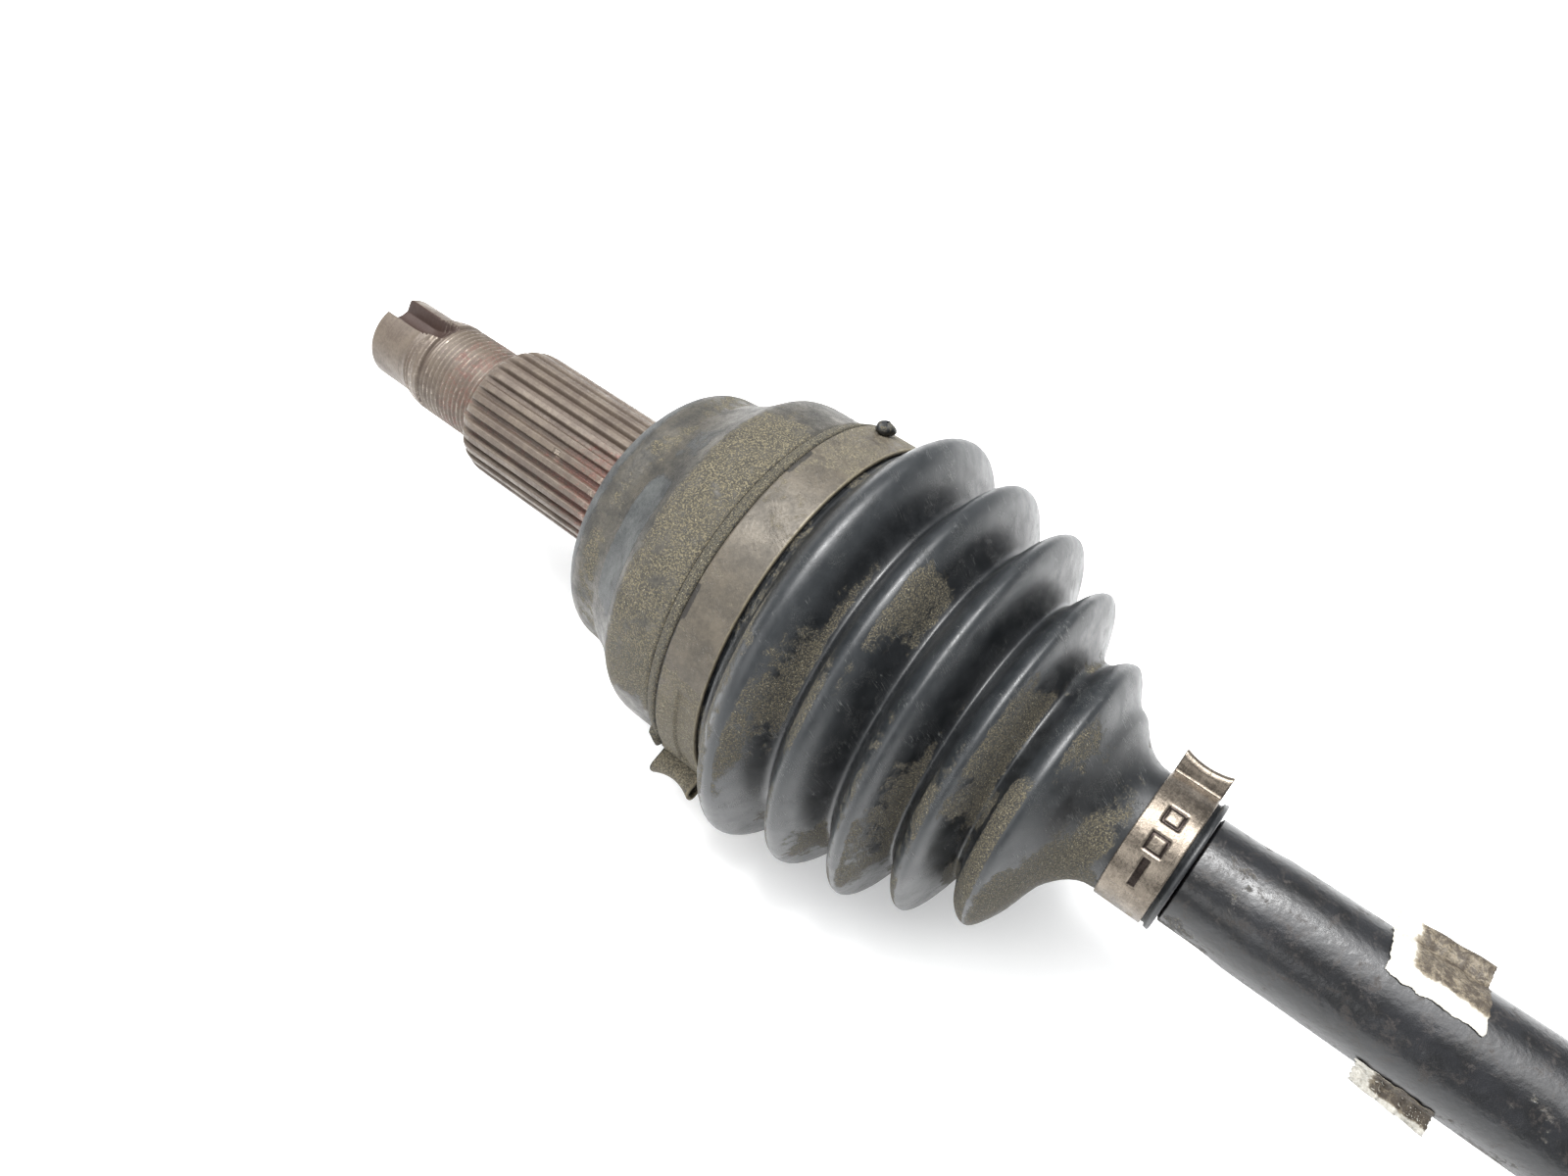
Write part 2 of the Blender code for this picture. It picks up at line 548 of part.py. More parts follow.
def build_bar(paint, steel, paper):
    outer_end = OUTER_CENTRE_X - RACE_HALF_WIDTH - BAR_END_OVERHANG
    inner_end = INNER_CENTRE_X + SPIDER_HALF_WIDTH + BAR_END_OVERHANG
    outer_groove = OUTER_CENTRE_X - RACE_HALF_WIDTH - CLEARANCE - SNAP_RING_WIRE
    inner_groove = INNER_CENTRE_X + SPIDER_HALF_WIDTH + CLEARANCE
    groove_radius = BAR_END_RADIUS - SNAP_RING_GROOVE
    outer_end_outline = [
        (outer_end, 0), (outer_end, BAR_END_RADIUS - BAR_END_CHAMFER),
        (outer_end + BAR_END_CHAMFER, BAR_END_RADIUS)] + groove_points(outer_groove, groove_radius)
    inner_end_outline = groove_points(inner_groove, groove_radius) + [
        (inner_end - BAR_END_CHAMFER, BAR_END_RADIUS), (inner_end, BAR_END_RADIUS - BAR_END_CHAMFER),
        (inner_end, 0)]
    outer_seat = bar_seat_points(OUTER_CENTRE_X + RACE_HALF_WIDTH + CLEARANCE, OUTER_NECK_START, 1)
    inner_seat = bar_seat_points(INNER_CENTRE_X - SPIDER_HALF_WIDTH - CLEARANCE, INNER_NECK_START, -1)
    outline = outer_end_outline + outer_seat + inner_seat[::-1] + inner_end_outline
    place_object("axle_shaft", turned(outline, SMALL_SIDES), paint, (OUTER_CENTRE_X, 0, 0))
    for name, middle in (("race_snap_ring", outer_groove + SNAP_RING_WIRE / 2),
                         ("spider_snap_ring", inner_groove + SNAP_RING_WIRE / 2)):
        place_object(name, open_ring(
            X_AXIS * middle, X_AXIS, Y_AXIS, Z_AXIS, groove_radius + CLEARANCE,
            BAR_END_RADIUS + SNAP_RING_GROOVE, SNAP_RING_WIRE - CLEARANCE, 24, 70), steel)
    builder = bmesh.new()
    inner = BAR_RADIUS + CLEARANCE
    sections = []
    for step in range(19):
        spoke = direction(LABEL_FROM + (LABEL_TO - LABEL_FROM) * step / 18)
        sections.append([builder.verts.new(Vector((x, 0, 0)) + spoke * size) for x, size in (
            (LABEL_START, inner), (LABEL_START + LABEL_WIDTH, inner),
            (LABEL_START + LABEL_WIDTH, inner + LABEL_THICKNESS), (LABEL_START, inner + LABEL_THICKNESS))])
    for first, second in zip(sections, sections[1:]):
        bridge_rings(builder, first, second)
    builder.faces.new(sections[0])
    builder.faces.new(sections[-1])
    place_object("shaft_label", builder, paper)


def build_boot(name, material, origin_x, points, start, wide_radius, mouth_x, neck_x, way):
    """A boot from its wide sleeve to its neck. way is 1 where it narrows towards +X, or -1."""
    sleeve_inner = wide_radius + CLEARANCE
    sleeve_outer = sleeve_inner + BOOT_SLEEVE_WALL
    sleeve_end = mouth_x + way * SLEEVE_OVERHANG
    seat = BAR_SEAT_RADIUS + CLEARANCE
    neck_radius = seat + BOOT_NECK_WALL
    neck_end = neck_x + way * BOOT_NECK_LENGTH
    lip_end = neck_end + way * BOOT_LIP_LENGTH
    lip_radius = neck_radius + BOOT_LIP_HEIGHT
    flare_start = sleeve_end - way * BOOT_SLEEVE_STEP
    sleeve = {"outer": [(start, sleeve_outer), (flare_start, sleeve_outer),
                        (sleeve_end, sleeve_outer + BOOT_SLEEVE_STEP)],
              "inner": [(start, sleeve_inner), (flare_start, sleeve_inner)]}
    neck = {"outer": [(neck_x - way * 2 * BOOT_NECK_FILLET, neck_radius + BOOT_NECK_FILLET),
                      (neck_x, neck_radius), (neck_end, neck_radius),
                      (neck_end + way * BOOT_LIP_BEVEL / 4, lip_radius),
                      (lip_end - way * BOOT_LIP_BEVEL, lip_radius), (lip_end, lip_radius - BOOT_LIP_BEVEL)],
            "inner": [(neck_x - way * BOOT_NECK_FILLET / 2, seat), (lip_end, seat)]}
    place_object(name, boot_shell(sleeve, points, neck), material, (origin_x, 0, 0))


def build_outer_boot(rubber, steel):
    points = fold_points(OUTER_FOLDS, MOUTH_X, GROOVE_RADIUS, OUTER_NECK_START, BAR_SEAT_RADIUS)
    start = OUTER_CENTRE_X + BOOT_GROOVE_START + CLEARANCE
    build_boot("outer_boot", rubber, OUTER_CENTRE_X, points, start, GROOVE_RADIUS, MOUTH_X,
               OUTER_NECK_START, 1)
    large_start = MOUTH_X - OUTER_LARGE_BAND_INSET
    small_start = OUTER_NECK_START + (BOOT_NECK_LENGTH - SMALL_BAND_WIDTH) / 2
    place_object("outer_large_clamp", wrapped_band(
        large_start, LARGE_BAND_WIDTH, OUTER_LARGE_BAND_RADIUS, LARGE_BAND_THICKNESS,
        OUTER_LARGE_EAR_ANGLE), steel)
    place_object("outer_small_clamp", wrapped_band(
        small_start, SMALL_BAND_WIDTH, SMALL_BAND_RADIUS, SMALL_BAND_THICKNESS, OUTER_SMALL_EAR_ANGLE), steel)


def build_inner_boot(rubber, steel):
    points = fold_points(INNER_FOLDS, INNER_MOUTH_X, INNER_RADIUS, INNER_NECK_START, BAR_SEAT_RADIUS)
    start = INNER_MOUTH_X + INNER_SLEEVE_LENGTH
    build_boot("inner_boot", rubber, INNER_CENTRE_X, points, start, INNER_RADIUS, INNER_MOUTH_X,
               INNER_NECK_START, -1)
    large_start = INNER_MOUTH_X + INNER_BAND_OFFSET
    small_start = INNER_NECK_START - (BOOT_NECK_LENGTH + SMALL_BAND_WIDTH) / 2
    place_object("inner_large_clamp", wrapped_band(
        large_start, LARGE_BAND_WIDTH, INNER_LARGE_BAND_RADIUS, LARGE_BAND_THICKNESS, INNER_EAR_ANGLE), steel)
    place_object("inner_small_clamp", wrapped_band(
        small_start, SMALL_BAND_WIDTH, SMALL_BAND_RADIUS, SMALL_BAND_THICKNESS, INNER_EAR_ANGLE), steel)


def build_inner_housing(steel):
    floor = INNER_CENTRE_X + INNER_DEPTH
    end = INNER_HOUSING_END
    seal_end = end + INNER_SEAL_LENGTH
    tip_start = OVERALL_LENGTH - STUB_TIP_LENGTH
    spline_start = tip_start - INNER_SPLINE_LENGTH
    core = INNER_SPLINE_TIP_RADIUS - INNER_SPLINE_TOOTH_DEPTH - INNER_CORE_STEP
    groove_start, groove_end = OVERALL_LENGTH - STUB_GROOVE_START, OVERALL_LENGTH - STUB_GROOVE_END
    groove_radius = STUB_TIP_RADIUS - SNAP_RING_GROOVE
    outline = [(INNER_MOUTH_X, INNER_RADIUS)]
    outline += [(end - back, INNER_RADIUS - drop) for back, drop in INNER_END_TAPER]
    outline += [(end, INNER_SEAL_RADIUS + INNER_SEAL_STEP), (end + INNER_SEAL_STEP, INNER_SEAL_RADIUS),
                (seal_end, INNER_SEAL_RADIUS), (seal_end + INNER_SEAL_STEP, core), (tip_start, core),
                (tip_start, STUB_TIP_RADIUS), (groove_start, STUB_TIP_RADIUS), (groove_start, groove_radius),
                (groove_end, groove_radius), (groove_end, STUB_TIP_RADIUS),
                (OVERALL_LENGTH - STUB_TIP_CHAMFER, STUB_TIP_RADIUS),
                (OVERALL_LENGTH, STUB_TIP_RADIUS - STUB_TIP_CHAMFER), (OVERALL_LENGTH, 0)]
    bore = [(floor, 0), (floor, INNER_BORE_RADIUS), (INNER_MOUTH_X + INNER_FLARE_DEPTH, INNER_BORE_RADIUS),
            (INNER_MOUTH_X, INNER_FLARE_RADIUS)]
    housing = place_object("inner_joint_housing", turned(bore + outline, BODY_SIDES), steel,
                           (INNER_CENTRE_X, 0, 0))
    teeth = place_object("inner_spline_guide", tooth_prism(
        spline_start, tip_start - SPLINE_BURY, INNER_SPLINE_TOOTH_DEPTH, INNER_SPLINE_TOOTH_DEPTH,
        INNER_SPLINE_TIP_RADIUS, INNER_SPLINE_TOOTH_DEPTH, INNER_SPLINE_TEETH), steel, cutter=True)
    combine(housing, teeth, "UNION")
    half = ROLLER_RADIUS + ROLLER_TRACK_ROOM
    for number in range(TRUNNION_COUNT):
        out = direction(90 + 120 * number)
        side = direction(180 + 120 * number)
        builder = bmesh.new()
        section = []
        steps = 14
        for step in range(steps):
            angle = 2 * math.pi * step / steps
            radial = ROLLER_PITCH_RADIUS + half / math.cos(math.pi / steps) * math.sin(angle)
            across = half / math.cos(math.pi / steps) * math.cos(angle)
            section.append((min(radial, ROLLER_TRACK_FLOOR), across))
        ends = []
        for x in (INNER_MOUTH_X - ROLLER_TRACK_STOP, floor - ROLLER_TRACK_STOP):
            ends.append([builder.verts.new(Vector((x, 0, 0)) + out * radial + side * across)
                         for radial, across in section])
        bridge_rings(builder, ends[0], ends[1])
        builder.faces.new(ends[0])
        builder.faces.new(ends[1])
        track = place_object("roller_track_guide_%d" % (number + 1), builder, None, cutter=True)
        combine(housing, track, "DIFFERENCE")
        land = direction(150 + 120 * number)
        frame = (land * (INNER_RADIUS - SCALLOP_DEPTH + SCALLOP_RADIUS), X_AXIS,
                 direction(60 + 120 * number), land)
        scallop = place_object("scallop_guide_%d" % (number + 1), turned(
            [(INNER_MOUTH_X + COLLAR_LENGTH, 0), (INNER_MOUTH_X + COLLAR_LENGTH, SCALLOP_RADIUS),
             (end + INNER_SEAL_STEP, SCALLOP_RADIUS), (end + INNER_SEAL_STEP, 0)],
            20, axis_frame=frame), None, cutter=True)
        combine(housing, scallop, "DIFFERENCE")
    place_object("stub_snap_ring", open_ring(
        X_AXIS * (groove_start + groove_end) / 2, X_AXIS, Y_AXIS, Z_AXIS, groove_radius + CLEARANCE,
        STUB_TIP_RADIUS + STUB_RING_HEIGHT, STUB_GROOVE_START - STUB_GROOVE_END - 2 * CLEARANCE,
        24, 250), steel)


def build_tripod(steel, bright):
    centre = Vector((INNER_CENTRE_X, 0, 0))
    bore = BAR_END_RADIUS + CLEARANCE
    low, high = INNER_CENTRE_X - SPIDER_HALF_WIDTH, INNER_CENTRE_X + SPIDER_HALF_WIDTH
    hub_edge = SPIDER_HUB_RADIUS - HUB_CHAMFER
    hub_outline = [(low, bore), (low, hub_edge), (low + HUB_CHAMFER, SPIDER_HUB_RADIUS),
                   (high - HUB_CHAMFER, SPIDER_HUB_RADIUS), (high, hub_edge), (high, bore)]
    spider = place_object("tripod_spider", turned(hub_outline, 36, closed=True), steel, centre)
    inner_radius = TRUNNION_RADIUS + CLEARANCE
    needle_outer = inner_radius + 2 * NEEDLE_RADIUS
    for number in range(TRUNNION_COUNT):
        out = direction(90 + 120 * number)
        side = direction(180 + 120 * number)
        frame = (centre, out, side, X_AXIS)
        ring_from = ROLLER_PITCH_RADIUS + ROLLER_WIDTH / 2 + CLEARANCE
        groove_from = ring_from - CLEARANCE / 3
        groove_to = groove_from + TRUNNION_GROOVE_WIDTH
        groove_radius = TRUNNION_RADIUS - TRUNNION_GROOVE
        trunnion = place_object("trunnion_guide_%d" % (number + 1), turned(
            [(SPIDER_HUB_RADIUS - TRUNNION_BURY, 0), (SPIDER_HUB_RADIUS - TRUNNION_BURY, TRUNNION_RADIUS),
             (groove_from, TRUNNION_RADIUS), (groove_from, groove_radius), (groove_to, groove_radius),
             (groove_to, TRUNNION_RADIUS), (TRUNNION_REACH, TRUNNION_RADIUS - CLEARANCE),
             (TRUNNION_REACH, 0)], 16, axis_frame=frame), steel, cutter=True)
        combine(spider, trunnion, "UNION")
        origin = centre + out * ROLLER_PITCH_RADIUS
        half_width = ROLLER_WIDTH / 2
        edge = math.degrees(math.asin(half_width / ROLLER_RADIUS))
        barrel = [(ROLLER_PITCH_RADIUS + ROLLER_RADIUS * math.sin(math.radians(angle)),
                   ROLLER_RADIUS * math.cos(math.radians(angle)))
                  for angle in (-edge, -edge / 2, 0, edge / 2, edge)]
        bore_radius = needle_outer + CLEARANCE
        barrel += [(ROLLER_PITCH_RADIUS + half_width, bore_radius),
                   (ROLLER_PITCH_RADIUS - half_width, bore_radius)]
        place_object("roller_%d" % (number + 1), turned(
            barrel, SMALL_SIDES, closed=True, axis_frame=frame), bright, origin)
        builder = bmesh.new()
        rings = []
        for along in (-half_width + NEEDLE_END_ROOM, half_width - NEEDLE_END_ROOM):
            middle = centre + out * (ROLLER_PITCH_RADIUS + along)
            outside = []
            inside = []
            for step in range(NEEDLE_COUNT * 2):
                angle = math.pi * step / NEEDLE_COUNT
                spoke = side * math.cos(angle) + X_AXIS * math.sin(angle)
                dip = 0 if step % 2 == 0 else NEEDLE_GROOVE
                outside.append(builder.verts.new(middle + spoke * (needle_outer - dip)))
                inside.append(builder.verts.new(middle + spoke * (inner_radius + dip)))
            rings.append((outside, inside))
        bridge_rings(builder, rings[0][0], rings[1][0])
        bridge_rings(builder, rings[0][1], rings[1][1])
        bridge_rings(builder, rings[0][0], rings[0][1])
        bridge_rings(builder, rings[1][0], rings[1][1])
        place_object("needle_set_%d" % (number + 1), builder, bright, origin)
        place_object("roller_snap_ring_%d" % (number + 1), open_ring(
            centre + out * (groove_from + groove_to) / 2, out, side, X_AXIS, groove_radius + CLEARANCE,
            TRUNNION_RADIUS + TRUNNION_RING_HEIGHT, TRUNNION_RING_WIRE, 40, 90), steel)


def build_axle():
    clear_scene()
    rusty = finish_material("dusty steel", (0.16, 0.13, 0.1), 0.65, 0.5)
    bright = finish_material("bearing steel", (0.6, 0.6, 0.6), 0.22, 1.0)
    dark = finish_material("phosphated steel", (0.2, 0.2, 0.21), 0.4, 0.8)
    clamp = finish_material("stainless band", (0.5, 0.46, 0.4), 0.35, 1.0)
    rubber = finish_material("boot rubber", (0.03, 0.03, 0.03), 0.5, 0.0)
    paint = finish_material("black paint", (0.012, 0.012, 0.013), 0.25, 0.0)
    paper = finish_material("label paper", (0.8, 0.78, 0.74), 0.7, 0.0)
    build_outer_housing(rusty)
    build_ball_joint(bright, dark)
    build_bar(paint, dark, paper)
    build_outer_boot(rubber, clamp)
    build_inner_boot(rubber, clamp)
    build_inner_housing(rusty)
    build_tripod(dark, bright)


build_axle()
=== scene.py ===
import math
import bpy
import numpy as np
from mathutils import Matrix, Vector


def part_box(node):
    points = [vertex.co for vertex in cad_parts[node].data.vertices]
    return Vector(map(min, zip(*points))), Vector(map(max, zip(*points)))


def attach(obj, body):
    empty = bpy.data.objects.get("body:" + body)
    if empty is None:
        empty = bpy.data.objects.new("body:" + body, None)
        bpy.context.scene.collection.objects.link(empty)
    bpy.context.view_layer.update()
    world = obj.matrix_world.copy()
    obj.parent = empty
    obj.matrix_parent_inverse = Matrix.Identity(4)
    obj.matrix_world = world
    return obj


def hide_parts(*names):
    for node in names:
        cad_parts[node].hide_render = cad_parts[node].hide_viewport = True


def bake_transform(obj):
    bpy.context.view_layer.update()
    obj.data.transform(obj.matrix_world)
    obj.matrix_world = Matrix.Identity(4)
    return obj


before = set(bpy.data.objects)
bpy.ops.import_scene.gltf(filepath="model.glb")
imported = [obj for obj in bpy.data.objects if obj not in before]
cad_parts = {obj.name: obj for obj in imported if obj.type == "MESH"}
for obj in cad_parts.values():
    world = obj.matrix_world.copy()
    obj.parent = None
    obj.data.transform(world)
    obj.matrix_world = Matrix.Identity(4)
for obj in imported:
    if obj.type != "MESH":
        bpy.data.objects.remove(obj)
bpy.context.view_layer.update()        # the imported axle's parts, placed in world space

mm = 0.001               # the numbers below are millimetres, unless a note says otherwise


def boxOf(node):
    # a node's lowest and highest corner, in millimetres
    low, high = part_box(node)
    return np.array(low) / mm, np.array(high) / mm


def roundedLine(points, step):
    # (x, radius) corners, with an optional third number that rounds the corner off
    corners = [np.array(point[:2], float) for point in points]
    loose = []
    for index, point in enumerate(points):
        rounding = point[2] if len(point) > 2 else 0
        if not rounding or index in (0, len(points) - 1):
            loose.append(corners[index])
            continue
        before = corners[index - 1] - corners[index]
        after = corners[index + 1] - corners[index]
        lengthBefore = np.linalg.norm(before)
        lengthAfter = np.linalg.norm(after)
        reach = min(rounding, lengthBefore * 0.49, lengthAfter * 0.49)
        first = corners[index] + before / lengthBefore * reach
        last = corners[index] + after / lengthAfter * reach
        for share in np.linspace(0, 1, 7):
            middle = 2 * share * (1 - share) * corners[index]
            loose.append((1 - share) ** 2 * first + middle + share ** 2 * last)
    return evenLine(loose, step)


def evenLine(loose, step):
    # the same line with points no further apart than step
    line = [np.array(loose[0], float)]
    for corner in loose[1:]:
        start = line[-1]
        gap = np.linalg.norm(corner - start)
        if gap < 1e-5:
            continue
        steps = max(1, math.ceil(gap / step))
        for number in range(1, steps + 1):
            line.append(start + (corner - start) * number / steps)
    return np.array(line)


def bump(value, middle, halfWidth, soft=0.35):
    # 1 near the middle, falling smoothly to 0 past the half width
    distance = np.abs(value - middle) / halfWidth
    return ramp(1 + soft - distance, 0, soft)


def ramp(value, low, high):
    # 0 at low, rising smoothly to 1 at high
    share = np.clip((value - low) / (high - low), 0, 1)
    return share * share * (3 - 2 * share)


def roll(x, angle, seed, waves, lengthScale):
    # slow, repeatable unevenness over a round surface
    rng = np.random.default_rng(seed)
    total = 0 * x
    for _ in range(waves):
        turns = rng.integers(0, 4)
        pace = rng.uniform(0.4, 1.6) / lengthScale
        phase = rng.uniform(0, 2 * math.pi, 2)
        total = total + np.sin(pace * x + phase[0]) * np.cos(turns * np.radians(angle) + phase[1])
    return total / waves


def uneven(look, x, angle, seed, waves, lengthScale):
    # the same unevenness, fading out at both ends
    found = look["unevenness"] * roll(x, angle, seed, waves, lengthScale)
    return found * ramp(x, *look["unevenFrom"]) * ramp(x, *look["unevenTo"])


def addObject(name, data):
    made = bpy.data.objects.new(name, data)
    bpy.context.scene.collection.objects.link(made)
    return made


def addMesh(name, points, faces, material, marks=None):
    # points in millimetres; marks are 0..1 values painted on the points
    mesh = bpy.data.meshes.new(name)
    mesh.from_pydata((points * mm).tolist(), [], faces)
    mesh.update()
    mesh.polygons.foreach_set("use_smooth", np.ones(len(mesh.polygons), bool))
    place = mesh.attributes.new("madeAt", "FLOAT_VECTOR", "POINT")
    place.data.foreach_set("vector", points.astype(np.float32).ravel())
    for mark, values in (marks or {}).items():
        attribute = mesh.attributes.new(mark, "FLOAT", "POINT")
        attribute.data.foreach_set("value", np.asarray(values, np.float32).ravel())
    mesh.materials.append(material)
    return addObject(name, mesh)


def gridFaces(rows, columns, wrapRows, wrapColumns, flip=False):
    row = np.arange(rows if wrapRows else rows - 1)
    column = np.arange(columns if wrapColumns else columns - 1)
    rowGrid, columnGrid = np.meshgrid(row, column, indexing="ij")
    nextRow = (rowGrid + 1) % rows
    nextColumn = (columnGrid + 1) % columns
    quads = np.stack([rowGrid * columns + columnGrid, rowGrid * columns + nextColumn,
                      nextRow * columns + nextColumn, nextRow * columns + columnGrid], -1).reshape(-1, 4)
    if flip:
        quads = quads[:, ::-1]
    return quads.tolist()


def spin(name, line, columns, material, shape=None, wrap=False, mirrorX=None):
    # turns a line of (x, radius) round the axle; shape() may carve it and paints the marks
    # a line that starts or ends on the axle is closed there with one point
    angle = np.arange(columns) * 360 / columns - 90
    x = line[:, 0][:, None] + 0 * angle[None, :]
    radius = line[:, 1][:, None] + 0 * angle[None, :]
    angles = angle[None, :] + 0 * x
    marks = {}
    shift = np.zeros(2)
    if shape:
        x, radius, shift, marks = shape(x, angles, radius)
    if mirrorX is not None:
        x = mirrorX - x
    turn = np.radians(angles)
    points = np.stack([x, radius * np.cos(turn) + shift[0], radius * np.sin(turn) + shift[1]], -1)
    rows = len(line)
    faces = gridFaces(rows, columns, wrap, True, flip=mirrorX is None)
    points = points.reshape(-1, 3)
    marks = {mark: list(values.ravel()) for mark, values in marks.items()}
    if not wrap:
        for row, flip in ((0, False), (rows - 1, True)):
            ring = points[row * columns:(row + 1) * columns]
            centre = len(points)
            points = np.vstack([points, ring.mean(axis=0)])
            for values in marks.values():
                values.append(values[row * columns])
            for column in range(columns):
                a = row * columns + column
                b = row * columns + (column + 1) % columns
                faces.append((centre, a, b) if flip else (centre, b, a))
    return addMesh(name, points, faces, material, marks)


def strap(name, path, fromX, width, thickness, material, shape=None, narrowing=None):
    # a metal strip laid along a path round the axle, path = (y, z) of its under side
    # shape(along, across) gives how deep each point of the outer face is pressed in, its lift, and marks
    tangent = np.gradient(path, axis=0)
    tangent /= np.linalg.norm(tangent, axis=1)[:, None]
    normal = np.stack([tangent[:, 1], -tangent[:, 0]], -1)
    edge = min(0.18, thickness * 0.3)
    topAcross = np.linspace(edge, width - edge, max(12, int(width / 0.28)))
    section = [(0, 0), (0, thickness - edge)]
    section += [(value, thickness) for value in topAcross]
    section += [(width, thickness - edge), (width, 0)]
    section += [(value, 0) for value in np.linspace(width - 0.5, 0.5, 6)]
    section = np.array(section)
    onTop = (section[:, 1] > thickness - edge / 2)[None, :]
    rows = len(path)
    columns = len(section)
    along = np.concatenate([[0], np.cumsum(np.linalg.norm(np.diff(path, axis=0), axis=1))])
    across = section[:, 0][None, :] + 0 * along[:, None]
    height = section[:, 1][None, :] + 0 * along[:, None]
    marks = {}
    if narrowing is not None:
        across = width / 2 + (across - width / 2) * narrowing[:, None]
    if shape:
        pressed, lift, marks = shape(along[:, None] + 0 * across, across)
        height = height - pressed * onTop
    else:
        lift = 0 * across
    radial = path / np.linalg.norm(path, axis=1)[:, None]
    flat = path[:, None, :] + normal[:, None, :] * height[..., None] + radial[:, None, :] * lift[..., None]
    points = np.concatenate([(fromX + across)[..., None], flat], -1).reshape(-1, 3)
    faces = gridFaces(rows, columns, False, True)
    faces.append(list(range(columns))[::-1])
    faces.append([(rows - 1) * columns + column for column in range(columns)])
    marks = {mark: values * onTop if mark == "pit" else values for mark, values in marks.items()}
    return addMesh(name, points, faces, material, marks)


# the node tree being built, its shader, and the place on the axle (mm) that the patterns follow
work = {"material": None, "tree": None, "shader": None, "place": None}


def shade(red, green, blue):
    # screen values 0..255 to a linear colour
    return tuple(((value / 255 + 0.055) / 1.055) ** 2.4 for value in (red, green, blue)) + (1,)


def grey(value):
    return (value, value, value, 1)


def feed(socket, value):
    if isinstance(value, bpy.types.NodeSocket):
        work["tree"].links.new(value, socket)
    else:
        socket.default_value = value


def addNode(kind, inputs=None, **settings):
    node = work["tree"].nodes.new(kind)
    for key, value in settings.items():
        setattr(node, key, value)
    for key, value in (inputs or {}).items():
        feed(node.inputs[key], value)
    return node


def calc(operation, a, b=0.0, clamp=False):
    return addNode("ShaderNodeMath", {0: a, 1: b}, operation=operation, use_clamp=clamp).outputs[0]


def times(a, b, clamp=False):
    return calc("MULTIPLY", a, b, clamp)


def plus(a, b):
    return calc("ADD", a, b)


def minus(a, b):
    return calc("SUBTRACT", a, b)


def stretch(value, low, high, toLow=0.0, toHigh=1.0):
    # moves low..high smoothly to toLow..toHigh
    return addNode("ShaderNodeMapRange", {"Value": value, "From Min": low, "From Max": high,
                                          "To Min": toLow, "To Max": toHigh},
                   interpolation_type="SMOOTHSTEP").outputs["Result"]


def tint(factor, a, b):
    return addNode("ShaderNodeMix", {0: factor, 6: a, 7: b}, data_type="RGBA", blend_type="MIX").outputs[2]


def layer(under, mask, strength, over):
    # one colour laid over another where the mask is
    return tint(times(mask, strength), under, over)


def grain(place, scale, detail=3.0, roughness=0.55, distortion=0.0):
    return addNode("ShaderNodeTexNoise", {"Vector": place, "Scale": scale, "Detail": detail,
                                          "Roughness": roughness, "Distortion": distortion}).outputs[0]


def stretched(place, factors):
    return addNode("ShaderNodeVectorMath", {0: place, 1: factors}, operation="MULTIPLY").outputs[0]


def scaled(place, size):
    return addNode("ShaderNodeVectorMath", {0: place, "Scale": size}, operation="SCALE").outputs[0]


def mark(name):
    return addNode("ShaderNodeAttribute", attribute_name=name).outputs["Fac"]


def newGroup(name, inputs, outputs):
    # every group takes the place first; an input is a colour where its first value is one
    tree = bpy.data.node_groups.new(name, "ShaderNodeTree")
    tree.interface.new_socket(name="Place", in_out="INPUT", socket_type="NodeSocketVector")
    for socket, value in inputs.items():
        kind = "NodeSocketColor" if isinstance(value, tuple) else "NodeSocketFloat"
        tree.interface.new_socket(name=socket, in_out="INPUT", socket_type=kind).default_value = value
    for socket in outputs:
        kind = "NodeSocketColor" if socket == "Colour" else "NodeSocketFloat"
        tree.interface.new_socket(name=socket, in_out="OUTPUT", socket_type=kind)
    work["tree"] = tree
    return tree.nodes.new("NodeGroupInput").outputs


def closeGroup(**outputs):
    result = work["tree"].nodes.new("NodeGroupOutput").inputs
    for socket, value in outputs.items():
        feed(result[socket], value)
    return work["tree"]


def useGroup(group, **inputs):
    node = work["tree"].nodes.new("ShaderNodeGroup")
    node.node_tree = group
    feed(node.inputs["Place"], work["place"])
    for key, value in inputs.items():
        feed(node.inputs[key], value)
    return node.outputs


def makeDustGroup():
    # road dust: patches, broken up by single grains of grit
    given = newGroup("roadDust", {"Amount": 0.5, "Grain": 1.0, "Dark": shade(98, 90, 74),
                                  "Light": shade(176, 166, 132), "Speck": shade(150, 144, 122)},
                     ("Mask", "Colour", "Height"))
    place = given["Place"]
    close = scaled(place, given["Grain"])
    grains = grain(close, 2.4, 2, 0.6)
    specks = stretch(grain(close, 2.6, 1, 0.5), 0.66, 0.72)
    spread = plus(times(grain(place, 0.07, 5, 0.62, 0.6), 0.62), times(grain(place, 0.42, 4, 0.65), 0.38))
    level = minus(plus(spread, given["Amount"]), 0.9)
    film = stretch(level, -0.02, 0.06)
    grit = stretch(plus(level, times(grains, 1.1)), 0.5, 0.74)
    mask = times(film, plus(0.45, times(grit, 0.55)), True)
    colour = tint(stretch(grains, 0.42, 0.64), given["Dark"], given["Light"])
    return closeGroup(Mask=mask, Colour=layer(colour, specks, film, given["Speck"]),
                      Height=times(mask, plus(grains, specks)))


